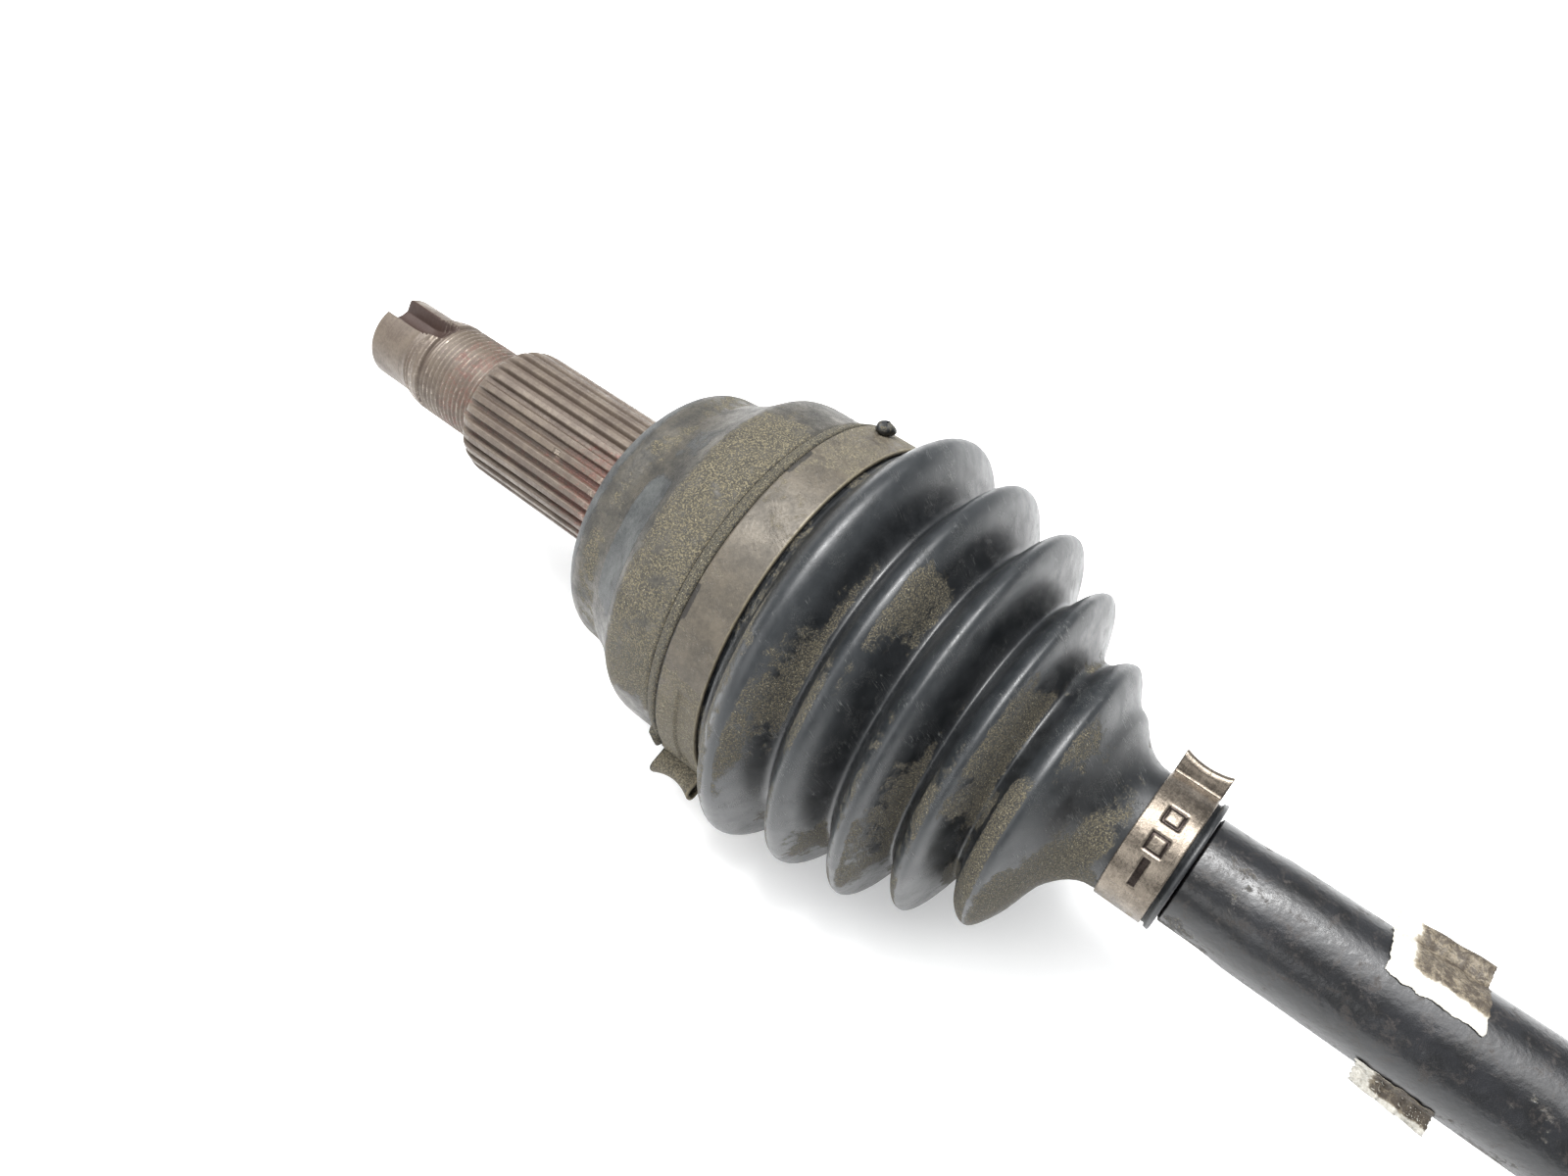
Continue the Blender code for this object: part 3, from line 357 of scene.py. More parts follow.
def makeStainGroup():
    # rust or oil stain with ragged, cloudy edges
    given = newGroup("cloudStain", {"Amount": 0.5, "Size": 1.0}, ("Mask", "Height"))
    place = scaled(given["Place"], given["Size"])
    fine = grain(place, 1.9, 4, 0.7)
    level = plus(times(grain(place, 0.3, 6, 0.68, 0.8), 0.7), times(fine, 0.3))
    edge = minus(plus(level, given["Amount"]), 1.0)
    return closeGroup(Mask=stretch(edge, -0.07, 0.12), Height=fine)


def makeSteelGroup():
    # uneven tone of handled steel, with faint turning lines round the axle
    given = newGroup("steelTone", {"Dark": shade(90, 84, 78), "Light": shade(160, 150, 140), "Lines": 0.3},
                     ("Colour", "Roughness", "Height"))
    place = given["Place"]
    fine = grain(place, 1.3, 5, 0.7)
    lines = grain(stretched(place, (7.0, 0.12, 0.12)), 1.0, 3, 0.6)
    lined = times(minus(lines, 0.5), given["Lines"])
    level = plus(plus(times(grain(place, 0.16, 5, 0.6, 0.4), 0.6), times(fine, 0.4)), lined)
    return closeGroup(Colour=tint(stretch(level, 0.36, 0.66), given["Dark"], given["Light"]),
                      Roughness=stretch(level, 0.3, 0.7, 0.62, 0.36), Height=plus(fine, times(lined, 2.0)))


def makeScratchGroup():
    # thin random scratches in two directions
    given = newGroup("thinScratches", {"Amount": 0.5}, ("Mask", "Height"))
    found = None
    for turn, factors in ((0.5, (0.12, 2.6, 2.6)), (-0.9, (2.2, 0.1, 0.3))):
        turned = addNode("ShaderNodeMapping", {"Vector": given["Place"],
                                               "Rotation": (turn, turn * 0.6, turn)}).outputs[0]
        lines = grain(stretched(turned, factors), 1.0, 2, 0.5, 0.15)
        thin = stretch(calc("ABSOLUTE", minus(lines, 0.5)), 0.012, 0.0)
        thin = times(thin, stretch(grain(turned, 0.12 + abs(turn) * 0.1, 2), 0.52, 0.66))
        found = thin if found is None else calc("MAXIMUM", found, thin)
    mask = times(found, given["Amount"], True)
    return closeGroup(Mask=mask, Height=times(mask, -1.0))


dustGroup = makeDustGroup()
stainGroup = makeStainGroup()
steelGroup = makeSteelGroup()
scratchGroup = makeScratchGroup()
print("node groups ready")


def startMaterial(name, onCad=False):
    # a piece made here carries its place on the axle; a bearing part's own coordinates give it
    material = bpy.data.materials.new(name)
    material.use_nodes = True
    tree = material.node_tree
    work.update(material=material, tree=tree, shader=tree.nodes["Principled BSDF"])
    if onCad:
        work["place"] = scaled(addNode("ShaderNodeTexCoord").outputs["Object"], 1 / mm)
    else:
        work["place"] = addNode("ShaderNodeAttribute", attribute_name="madeAt").outputs["Vector"]
    return work["place"]


def finishMaterial(look, colour, roughness, height, metallic=0.0):
    bumpNode = addNode("ShaderNodeBump", {"Height": height, "Strength": 1.0, "Distance": look["relief"]})
    for socket, value in (("Base Color", colour), ("Roughness", roughness), ("Metallic", metallic),
                          ("Normal", bumpNode.outputs["Normal"])):
        feed(work["shader"].inputs[socket], value)
    return work["material"]


def steelTone(look):
    return useGroup(steelGroup, Dark=look["dark"], Light=look["light"], Lines=look["lines"])


def dustCover(look):
    return useGroup(dustGroup, Amount=mark("dust"), Grain=look["grain"], Dark=look["dustDark"],
                    Light=look["dustLight"])


def stain(amount, size):
    return useGroup(stainGroup, Amount=amount, Size=size)


def makeStubSteel(name, look):
    # marks: root (tooth and thread bottoms, darkened: part rust, part painted shade), slot, red (where rust
    # sits), bright (worn crests and a chip, with painted glints low on the spline's shoulder end)
    startMaterial(name)
    steel = steelTone(look)
    rust = stain(times(mark("red"), 0.85), 1.6)
    rustTone = tint(stretch(rust["Height"], 0.35, 0.65), look["rustDark"], look["rust"])
    # worn metal and painted glints: a lighter colour, smoother and more metallic
    rubbed = stain(mark("bright"), 2.5)["Mask"]
    # darker tooth and thread bottoms: part rust, part painted shade
    colour = tint(stretch(mark("root"), 0.15, 0.85, 0, look["rootStrength"]), steel["Colour"], look["root"])
    colour = layer(colour, rust["Mask"], 0.85, rustTone)
    colour = layer(colour, mark("slot"), 0.85, look["slotTone"])
    colour = layer(colour, rubbed, 0.9, look["rubbed"])
    roughness = tint(rubbed, steel["Roughness"], grey(look["rubbedRough"]))
    height = plus(steel["Height"], times(rust["Mask"], rust["Height"]))
    return finishMaterial(look, colour, roughness, height, stretch(rubbed, 0.0, 1.0, look["metallic"], 0.9))


def makeDustySteel(name, look):
    # marks: dust, bare (clean metal), dark (oily dirt on the bell; on the large clamp a darker lower left
    # edge, on the inner housing darker grooves and steps), glow (pale dust, and a painted highlight along the
    # large clamp's right edge)
    startMaterial(name)
    steel = steelTone(look)
    bareTone = useGroup(steelGroup, Dark=look["bareDark"], Light=look["bare"], Lines=0.1)
    cover = dustCover(look)
    clean = stain(mark("bare"), look["bareSize"])["Mask"]
    rim = times(stretch(clean, 0.0, 0.35), stretch(clean, 0.9, 0.4))
    scratch = useGroup(scratchGroup, Amount=look["scratches"])
    colour = tint(cover["Mask"], steel["Colour"], cover["Colour"])
    colour = tint(clean, colour, bareTone["Colour"])
    colour = layer(colour, rim, 0.55, look["chipEdge"])
    colour = layer(colour, stain(mark("dark"), 1.5)["Mask"], 0.85, look["dirt"])
    colour = layer(colour, scratch["Mask"], 0.5, look["scratch"])
    # pale dust, and a painted highlight along the large clamp's right edge, in the light dust colour
    colour = layer(colour, stain(mark("glow"), 1.2)["Mask"], 0.85, look["dustLight"])
    roughness = tint(cover["Mask"], steel["Roughness"], grey(look["dustRough"]))
    roughness = tint(clean, roughness, grey(look["bareRough"]))
    height = minus(plus(times(cover["Height"], 2.0), steel["Height"]), times(clean, 0.8))
    height = plus(height, scratch["Height"])
    return finishMaterial(look, colour, roughness, height,
                          stretch(cover["Mask"], 0.0, 0.6, look["metallic"], 0.0))


def makeBootRubber(name, look):
    # marks: dust, crest (painted sheen along the top of a fold)
    place = startMaterial(name)
    film = grain(place, 0.22, 5, 0.65, 0.4)
    cover = dustCover(look)
    scratch = useGroup(scratchGroup, Amount=0.8)
    colour = tint(stretch(film, 0.3, 0.7), look["deep"], look["skin"])
    # painted sheen: a lighter grey laid along the fold crests
    colour = layer(colour, mark("crest"), look["crestStrength"], look["crest"])
    colour = tint(cover["Mask"], colour, cover["Colour"])
    colour = layer(colour, scratch["Mask"], 0.5, look["scratch"])
    smooth = stretch(film, 0.3, 0.7, look["roughLow"], look["roughHigh"])
    height = plus(times(cover["Height"], 1.6), times(grain(place, 3.2, 3, 0.6), 0.35))
    work["shader"].inputs["IOR"].default_value = 1.52
    return finishMaterial(look, colour, tint(cover["Mask"], smooth, grey(look["dustRough"])),
                          plus(height, scratch["Height"]))


def makeBarPaint(name, look):
    # gloss black paint, thinly dusty, with brown dirt spots and small runs
    place = startMaterial(name)
    cover = dustCover(look)
    spots = stain(look["spots"], 1.1)["Mask"]
    waves = grain(place, 0.16, 3, 0.5, 0.5)
    colour = tint(stretch(waves, 0.35, 0.65), look["deep"], look["paint"])
    colour = layer(colour, spots, 0.5, look["dirt"])
    colour = layer(colour, cover["Mask"], 0.9, cover["Colour"])
    spread = calc("MAXIMUM", cover["Mask"], times(spots, 0.6))
    height = plus(times(waves, 1.2), times(grain(place, 0.8, 3, 0.55), 0.8))
    height = plus(height, times(cover["Height"], 0.8))
    return finishMaterial(look, colour, stretch(spread, 0.0, 0.8, look["rough"], look["dustRough"]), height)


def makeStripSteel(name, look):
    # rolled stainless strip: warm, with painted shade in the pressed outlines; marks: dust, pit
    startMaterial(name)
    steel = steelTone(look)
    cover = dustCover(look)
    scratch = useGroup(scratchGroup, Amount=0.7)
    colour = tint(cover["Mask"], steel["Colour"], cover["Colour"])
    colour = layer(colour, stain(look["spots"], 3.0)["Mask"], 0.6, look["dirt"])
    colour = layer(colour, scratch["Mask"], 0.4, look["light"])
    # painted shade in the pressed outlines, in the dirt colour
    colour = tint(stretch(mark("pit"), 0.25, 0.8, 0, 0.95), colour, look["dirt"])
    roughness = stretch(steel["Height"], 0.2, 1.0, look["roughLow"], look["roughHigh"])
    roughness = tint(cover["Mask"], roughness, grey(look["dustRough"]))
    height = plus(steel["Height"], times(cover["Height"], 1.5))
    return finishMaterial(look, colour, roughness, height,
                          stretch(cover["Mask"], 0.0, 0.6, look["metallic"], 0.0))


def makeLabelPaper(name, look):
    # paper gone brown in the middle; mark: wear
    place = startMaterial(name)
    wear = mark("wear")
    fibre = grain(place, 2.6, 4, 0.7)
    colour = tint(stretch(fibre, 0.3, 0.7), look["paper"], look["paperShade"])
    colour = layer(colour, stain(wear, 0.8)["Mask"], 0.8, look["brown"])
    colour = layer(colour, stain(times(wear, 0.78), 2.2)["Mask"], 0.9, look["dirt"])
    return finishMaterial(look, colour, stretch(fibre, 0.2, 0.8, 0.45, 0.75), fibre)


def makeInsideSteel(name, look):
    # for the bearing parts inside the joints: clean or phosphated steel under a film of grease
    startMaterial(name, onCad=True)
    steel = steelTone(look)
    grease = stain(look["grease"], 0.5)["Mask"]
    colour = layer(steel["Colour"], grease, 0.7, look["greaseTone"])
    roughness = stretch(grease, 0.0, 1.0, look["rough"], look["greaseRough"])
    return finishMaterial(look, colour, roughness, steel["Height"], look["metallic"])


stubLook = {"dark": shade(78, 68, 60), "light": shade(100, 90, 79), "lines": 0.3,
            "root": shade(62, 48, 40), "rootStrength": 0.42, "rust": shade(112, 76, 66),
            "rustDark": shade(70, 46, 40), "rubbed": shade(164, 152, 140), "rubbedRough": 0.26,
            "slotTone": shade(46, 28, 24), "metallic": 0.2, "relief": 0.00006}
bellLook = {"dark": shade(42, 41, 38), "light": shade(74, 70, 62), "lines": 0.15,
            "bareDark": shade(46, 48, 49), "bare": shade(78, 80, 79), "bareSize": 1.3, "bareRough": 0.58,
            "chipEdge": shade(24, 26, 28), "dirt": shade(22, 20, 18), "scratch": shade(150, 146, 138),
            "dustDark": shade(46, 43, 36), "dustLight": shade(104, 97, 78), "grain": 1.2, "dustRough": 0.92,
            "scratches": 0.3, "metallic": 0.2, "relief": 0.00012}
innerLook = dict(bellLook, dark=shade(54, 48, 45), light=shade(88, 78, 70), bareDark=shade(76, 71, 68),
                 bare=shade(124, 118, 112), dustDark=shade(72, 63, 53), dustLight=shade(112, 101, 84))
largeBandLook = dict(bellLook, dark=shade(62, 57, 49), light=shade(84, 77, 66), lines=0.05,
                     dustDark=shade(60, 56, 47), dustLight=shade(102, 95, 78), scratches=0.8, relief=0.00007)
smallBandLook = {"dark": shade(84, 77, 69), "light": shade(126, 117, 106), "lines": 0.15,
                 "dirt": shade(30, 23, 21), "dustDark": shade(96, 86, 74), "dustLight": shade(140, 128, 110),
                 "grain": 1.2, "dustRough": 0.85, "spots": 0.26, "roughLow": 0.2, "roughHigh": 0.42,
                 "metallic": 0.85, "relief": 0.00006}
# crest: colour of the painted sheen on the fold tops
rubberLook = {"deep": shade(15, 17, 19), "skin": shade(27, 29, 31), "crest": shade(50, 54, 57),
              "crestStrength": 0.25, "dustDark": shade(40, 38, 33), "dustLight": shade(86, 80, 64),
              "grain": 1.3, "dustRough": 0.95, "scratch": shade(140, 142, 138), "roughLow": 0.32,
              "roughHigh": 0.46, "relief": 0.00007}
paintLook = {"deep": shade(9, 10, 12), "paint": shade(22, 23, 26), "dirt": shade(52, 44, 38),
             "dustDark": shade(38, 36, 33), "dustLight": shade(78, 74, 68), "grain": 0.8, "dustRough": 0.8,
             "spots": 0.44, "rough": 0.31, "relief": 0.00009}
paperLook = {"paper": shade(190, 188, 181), "paperShade": shade(160, 155, 144),
             "brown": shade(88, 74, 48), "dirt": shade(42, 33, 24), "relief": 0.0001}
ballLook = {"dark": shade(150, 150, 152), "light": shade(210, 210, 212), "lines": 0.0, "grease": 0.4,
            "greaseTone": shade(92, 78, 52), "rough": 0.12, "greaseRough": 0.18, "metallic": 1.0,
            "relief": 0.00003}
phosphateLook = dict(ballLook, dark=shade(40, 40, 42), light=shade(74, 73, 72), lines=0.1, grease=0.5,
                     greaseTone=shade(70, 58, 40), rough=0.45, metallic=0.6)

stubSteel = makeStubSteel("stubSteel", stubLook)
bellSteel = makeDustySteel("bellSteel", bellLook)
innerSteel = makeDustySteel("innerSteel", innerLook)
largeBandSteel = makeDustySteel("largeBandSteel", largeBandLook)
smallBandSteel = makeStripSteel("smallBandSteel", smallBandLook)
bootRubber = makeBootRubber("bootRubber", rubberLook)
barPaint = makeBarPaint("barPaint", paintLook)
labelPaper = makeLabelPaper("labelPaper", paperLook)
ballSteel = makeInsideSteel("ballSteel", ballLook)
phosphatedSteel = makeInsideSteel("phosphatedSteel", phosphateLook)
print("materials ready")


# outer stub: pilot, stake slot, thread and hub spline
stub = {"pilotRadius": 10.45, "threadRadius": 11.9, "thread": (13.4, 38.2), "pitch": 1.5, "threadDepth": 0.55,
        "wornMiddle": 17.8, "wornHalf": 1.4, "grooveAt": 20.2, "grooveHalf": 0.55, "grooveDepth": 0.45,
        "slotAngle": 81, "slotFloor": 6.2, "slotHalf": 3.1, "slotRunOut": 10.5, "slotEnd": 20.0,
        "slotRise": 4.8, "spline": (40.0, 90.6), "teeth": 30, "tipRadius": 16.4, "rootRadius": 15.0,
        "chipAt": (69.5, 128), "chipDepth": 0.5, "unevenness": 0.04, "columns": 600}


def splineCut(look, x, angle):
    # straight grooves with short flanks: 1 in a groove, 0 on a tooth
    phase = (angle * look["teeth"] / 360) % 1
    groove = np.clip((np.abs(phase - 0.5) - 0.22) / 0.1, 0, 1)
    return groove * (x > look["spline"][0]) * (x < look["spline"][1])


def stubShape(x, angle, radius):
    # thread: a helix cut into the radius
    threadFrom, threadTo = stub["thread"]
    inThread = ramp(x, threadFrom - 0.3, threadFrom + 0.4) * ramp(x, threadTo + 0.4, threadTo)
    worn = bump(x, stub["wornMiddle"], stub["wornHalf"], 0.3)
    phase = (x / stub["pitch"] - angle / 360) % 1
    threadCut = np.clip(2.6 * np.abs(phase - 0.5) - 0.2, 0, 1) * inThread * (1 - 0.82 * worn)
    wide = bump(x, stub["grooveAt"], stub["grooveHalf"], 0.6) * inThread
    radius = radius - stub["threadDepth"] * threadCut - stub["grooveDepth"] * wide
    # spline teeth
    toothCut = splineCut(stub, x, angle)
    room = np.maximum(radius - stub["rootRadius"], 0)
    radius = radius - room * toothCut
    # root: where the bottoms are darkened, part rust and part painted shade
    root = np.maximum(threadCut * 0.5, np.maximum(wide * 0.8, toothCut * ramp(room, 0.1, 1.0)))
    # stake slot: flat floor, steep walls, curved run-out
    away = angle - stub["slotAngle"]
    across = np.abs(radius * np.sin(np.radians(away)))
    rise = np.clip((x - stub["slotRunOut"]) / (stub["slotEnd"] - stub["slotRunOut"]), 0, 1.2)
    wall = np.maximum(across - stub["slotHalf"], 0) * 5.0
    ceiling = stub["slotFloor"] + stub["slotRise"] * rise ** 2 + wall + 0.06 * across ** 2
    ceiling = ceiling / np.cos(np.radians(np.clip(away, -60, 60)))
    cut = (np.abs(away) < 60) & (ceiling < radius) & (x < 30)
    radius = np.where(cut, ceiling, radius)
    # a chip and small dents on the teeth
    chipX, chipAngle = stub["chipAt"]
    chip = bump(x, chipX, 0.7, 0.5) * bump(angle, chipAngle, 2.6, 0.5)
    radius = radius - stub["chipDepth"] * chip * (1 - toothCut)
    radius = radius + stub["unevenness"] * roll(x, angle, 3, 6, 9)
    # rust in the roots, behind the thread and low at the shoulder; worn crests and the chip, with painted
    # glints low on the spline's shoulder end
    onSpline = (x > stub["spline"][0] - 0.5) * 1.0
    red = 0.30 + 0.26 * bump(x, 33, 5, 0.6) + onSpline * (0.06 + 0.2 * toothCut * ramp(angle, 90, 150))
    red = red + 0.16 * bump(x, 14, 1.5) - 0.3 * (x < 12.5)
    red = red + onSpline * 0.25 * ramp(x, 62, 86) * bump(angle, 150, 40, 0.8)
    # painted glints low on the spline's shoulder end, beside the worn crests
    low = bump(angle, 160, 32, 0.6)
    bright = 0.1 + chip * 0.5 + onSpline * (0.34 * ramp(x, 70, 88) * low + 0.1) * (1 - toothCut)
    bright = bright + (1 - threadCut) * inThread * 0.36
    return x, radius, np.zeros(2), {"root": root, "slot": cut * 1.0, "red": red, "bright": bright}


pilot, thread, tip = stub["pilotRadius"], stub["threadRadius"], stub["tipRadius"]
stubLine = roundedLine([
    (1.6, 0.4), (1.6, 2.2, 0.3), (0.2, 3.4, 0.3), (0, pilot - 0.9, 0.2), (0.8, pilot, 0.8),
    (12.6, pilot, 1.0), (17.0, thread, 2.0), (38.4, thread, 0.2), (39.2, thread - 0.9, 0.3),
    (39.9, thread - 0.9, 0.2), (40.1, 14.2, 0.5), (41.2, 15.6, 1.2), (43.8, tip, 2.4), (90.4, tip)], 0.22)
stubLine = np.vstack([stubLine, [(92.0, tip), (92.0, 0.4)]])
stubPiece = spin("outerStub", stubLine, stub["columns"], stubSteel, stubShape)
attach(stubPiece, "outer_joint")
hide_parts("outer_joint_housing")
print("outer stub ready")


# outer joint housing, from the hub seat to the mouth that the boot closes
mouthX = boxOf("outer_joint_housing")[1][0]
bell = {"seatX": 90.0, "seatRadius": 26.5, "shoulderRadius": 31.5, "radius": 39.5, "grooveX": 124.4,
        "grooveRadius": 37.0, "cavityRadius": 34.9, "outsideFrom": 36.4, "unevenness": 0.05,
        "bareBand": (106.3, 2.2), "barePatch": (134, 15), "smallPatch": (92, 6), "bareEdge": (97.0, 92.4),
        "dustyBand": (118.5, 5.5), "dustySide": (125, 40), "tanBand": (99.0, 2.6), "oilBand": (110.5, 3.0),
        "oilSide": (115, 35), "columns": 288}


def bellShape(x, angle, radius):
    # bands are (x, half width) and sides (angle, half angle)
    outside = radius > bell["outsideFrom"]
    radius = radius + bell["unevenness"] * roll(x, angle, 11, 8, 12)
    patch = bump(x, *bell["bareBand"], 1.2) * (
        0.98 * bump(angle, *bell["barePatch"], 1.2) + 0.4 * bump(angle, *bell["smallPatch"], 1.3))
    edgeBare = ramp(x, *bell["bareEdge"]) * (0.50 + 0.14 * np.cos(np.radians(angle - 120)))
    bare = np.maximum(patch, edgeBare) + 0.12
    middle = bump(x, *bell["dustyBand"], 0.7) * (0.35 + 0.65 * bump(angle, *bell["dustySide"], 0.8))
    tan = bump(x, *bell["tanBand"], 0.6)
    dust = 0.17 + 0.34 * middle + 0.32 * tan + 0.08 * ramp(angle, 150, 200) - 0.5 * bare * (bare > 0.8)
    dark = 0.33 + 0.12 * bump(x, *bell["oilBand"]) * bump(angle, *bell["oilSide"])
    return x, radius, np.zeros(2), {"dust": np.where(outside, dust, dust * 0.8), "bare": bare, "dark": dark}


seatX, bellRadius, grooveRadius = bell["seatX"], bell["radius"], bell["grooveRadius"]
bellLine = roundedLine([
    (seatX, 0.5), (seatX, 19.0, 0.3), (seatX + 0.6, 19.6, 0.3), (seatX + 0.6, 22.0, 0.3), (seatX, 22.6, 0.3),
    (seatX, bell["seatRadius"], 0.6), (92.0, 29.4, 1.8), (94.6, 31.2, 1.8),
    (98.0, bell["shoulderRadius"], 2.0), (100.4, 31.7, 2.2), (105.2, 33.6, 4.0), (109.4, 36.6, 3.0),
    (112.2, 38.9, 2.4), (115.2, bellRadius, 2.4),
    (123.8, bellRadius + 0.05, 0.4), (bell["grooveX"], 39.3, 0.2), (bell["grooveX"], grooveRadius),
    (mouthX - 0.6, grooveRadius, 0.5), (mouthX, 36.4, 0.4), (mouthX, 35.3, 0.4),
    (mouthX - 6, bell["cavityRadius"], 3), (112.0, bell["cavityRadius"], 8), (99.5, 27.0, 4),
    (98.0, 0.5)], 0.4)
bellPiece = spin("outerBell", bellLine, bell["columns"], bellSteel, bellShape)
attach(bellPiece, "outer_joint")
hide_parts("outer_joint_housing")
print("outer housing ready")


def foldLine(folds, start, step, sweep):
    # folds: (crest x, crest radius, valley x, valley radius)
    # with sweep, the last valley is the start of the neck, reached in one long hollow
    # gives the line, how near each point is to a valley, and which side of a fold it is on
    knots = [start]
    for crestX, crestRadius, valleyX, valleyRadius in folds:
        knots += [(crestX, crestRadius, "crest"), (valleyX, valleyRadius, "valley")]
    line, kinds, sides = [], [], []
    for first, last in zip(knots[:-1], knots[1:]):
        run = last[0] - first[0]
        # a crest is round, a valley narrow
        firstReach = 0.44 if first[2] == "crest" else 0.26
        lastReach = 0.5 if last[2] == "crest" else 0.26
        if sweep and last is knots[-1]:
            firstReach, lastReach = 0.2, 0.55
        a, d = np.array(first[:2], float), np.array(last[:2], float)
        b, c = a + (run * firstReach, 0), d - (run * lastReach, 0)
        share = np.linspace(0, 1, step, endpoint=last is knots[-1])[:, None]
        back = 1 - share
        line.append(back ** 3 * a + 3 * share * back ** 2 * b + 3 * share ** 2 * back * c + share ** 3 * d)
        kinds.append(share[:, 0] if last[2] == "valley" else back[:, 0])
        sides.append(np.full(len(share), 1.0 if last[2] == "valley" else -1.0))
    return np.vstack(line), np.concatenate(kinds), np.concatenate(sides)


def insideLine(line, wall):
    # the skin's inner face, a wall's thickness in from the outer one
    tangent = np.gradient(line, axis=0)
    tangent /= np.linalg.norm(tangent, axis=1)[:, None] + 1e-9
    direction = np.sign(line[-1, 0] - line[0, 0])
    normal = np.stack([-tangent[:, 1], tangent[:, 0]], -1) * direction
    return line - normal * wall


outerBoot = {
    "rimX": 124.5, "rimInside": 37.3, "sleeveRadius": 39.85, "rimRadius": 41.0, "sleeveEnd": 139.0,
    "wall": 1.2, "unevenness": 0.16, "unevenFrom": (141, 147), "unevenTo": (212, 205),
    "folds": [(146.6, 47.7, 155.0, 38.5), (160.4, 44.9, 168.0, 35.2), (173.8, 42.3, 179.8, 30.8),
              (185.2, 36.8, 190.6, 25.4), (196.6, 29.8, 211.6, 13.1)],
    "neckX": 211.6, "neckRadius": 12.95, "neckEnd": 222.6, "lipRadius": 13.7, "lipEnd": 223.9, "bore": 10.75,
    "mirrorX": None, "sagAngle": 209,
    "sags": ((0.6, 174, 5, 1.2), (1.3, 185.5, 3.5, 1.0), (3.2, 196.8, 3.5, 1.0)),
    "nickAt": (176.7, 100), "nickDepth": 0.7, "tabAngle": 191, "tabHeight": 1.3, "columns": 288}


def rimPoints(look):
    rimX, rimRadius = look["rimX"], look["rimRadius"]
    return [(rimX, rimRadius - 1.7), (rimX + 0.5, rimRadius - 0.9), (rimX + 2.4, rimRadius - 0.05),
            (rimX + 2.9, rimRadius - 0.2), (rimX + 3.2, look["sleeveRadius"]),
            (look["sleeveEnd"], look["sleeveRadius"])]


def neckPoints(look):
    neckEnd, lipEnd, lipRadius = look["neckEnd"], look["lipEnd"], look["lipRadius"]
    return [(look["neckX"] + 1.0, look["neckRadius"]), (neckEnd, look["neckRadius"]),
            (neckEnd + 0.2, lipRadius - 0.2), (lipEnd - 0.3, lipRadius), (lipEnd - 0.05, lipRadius - 0.3),
            (lipEnd, lipRadius - 1.0), (lipEnd, look["bore"])]


def makeBoot(name, look, replaced, shape, first=0, last=None):
    # one closed skin of even wall; first and last pick the folds, so a boot can be made in two pieces
    folds = look["folds"][first:last]
    hasRim, hasNeck = first == 0, last is None
    if hasRim:
        start = (look["sleeveEnd"] + 0.3, look["sleeveRadius"] + 1.0, "valley")
    else:
        start = look["folds"][first - 1][2:] + ("valley",)
    middle, valley, side = foldLine(folds, start, 18, hasNeck)
    rimLine = evenLine(rimPoints(look), 0.8) if hasRim else np.zeros((0, 2))
    neckLine = evenLine(neckPoints(look), 0.8) if hasNeck else np.zeros((0, 2))
    inner = insideLine(middle, look["wall"])[::-1][2:-2:3]
    back = [[(look["neckX"] + 1.0, look["bore"])]] if hasNeck else [[middle[-1] - (0, look["wall"])]]
    back.append(inner)
    if hasRim:
        back.append([(look["sleeveEnd"], look["rimInside"]), (look["rimX"], look["rimInside"])])
    else:
        back.append([middle[0] - (0, look["wall"])])
    back = np.vstack(back)
    line = np.vstack([rimLine, middle, neckLine, back])
    counts = (len(rimLine), len(neckLine) + len(back))
    valley = np.concatenate([np.full(counts[0], 0.8), valley, np.full(counts[1], 0.5)])
    side = np.concatenate([np.zeros(counts[0]), side, np.zeros(counts[1])])

    def paint(x, angle, radius):
        return shape(look, x, angle, radius, valley[:, None] + 0 * x, side[:, None] + 0 * x)

    piece = spin(name, line, look["columns"], bootRubber, paint, wrap=True, mirrorX=look["mirrorX"])
    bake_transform(piece)
    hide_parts(replaced)


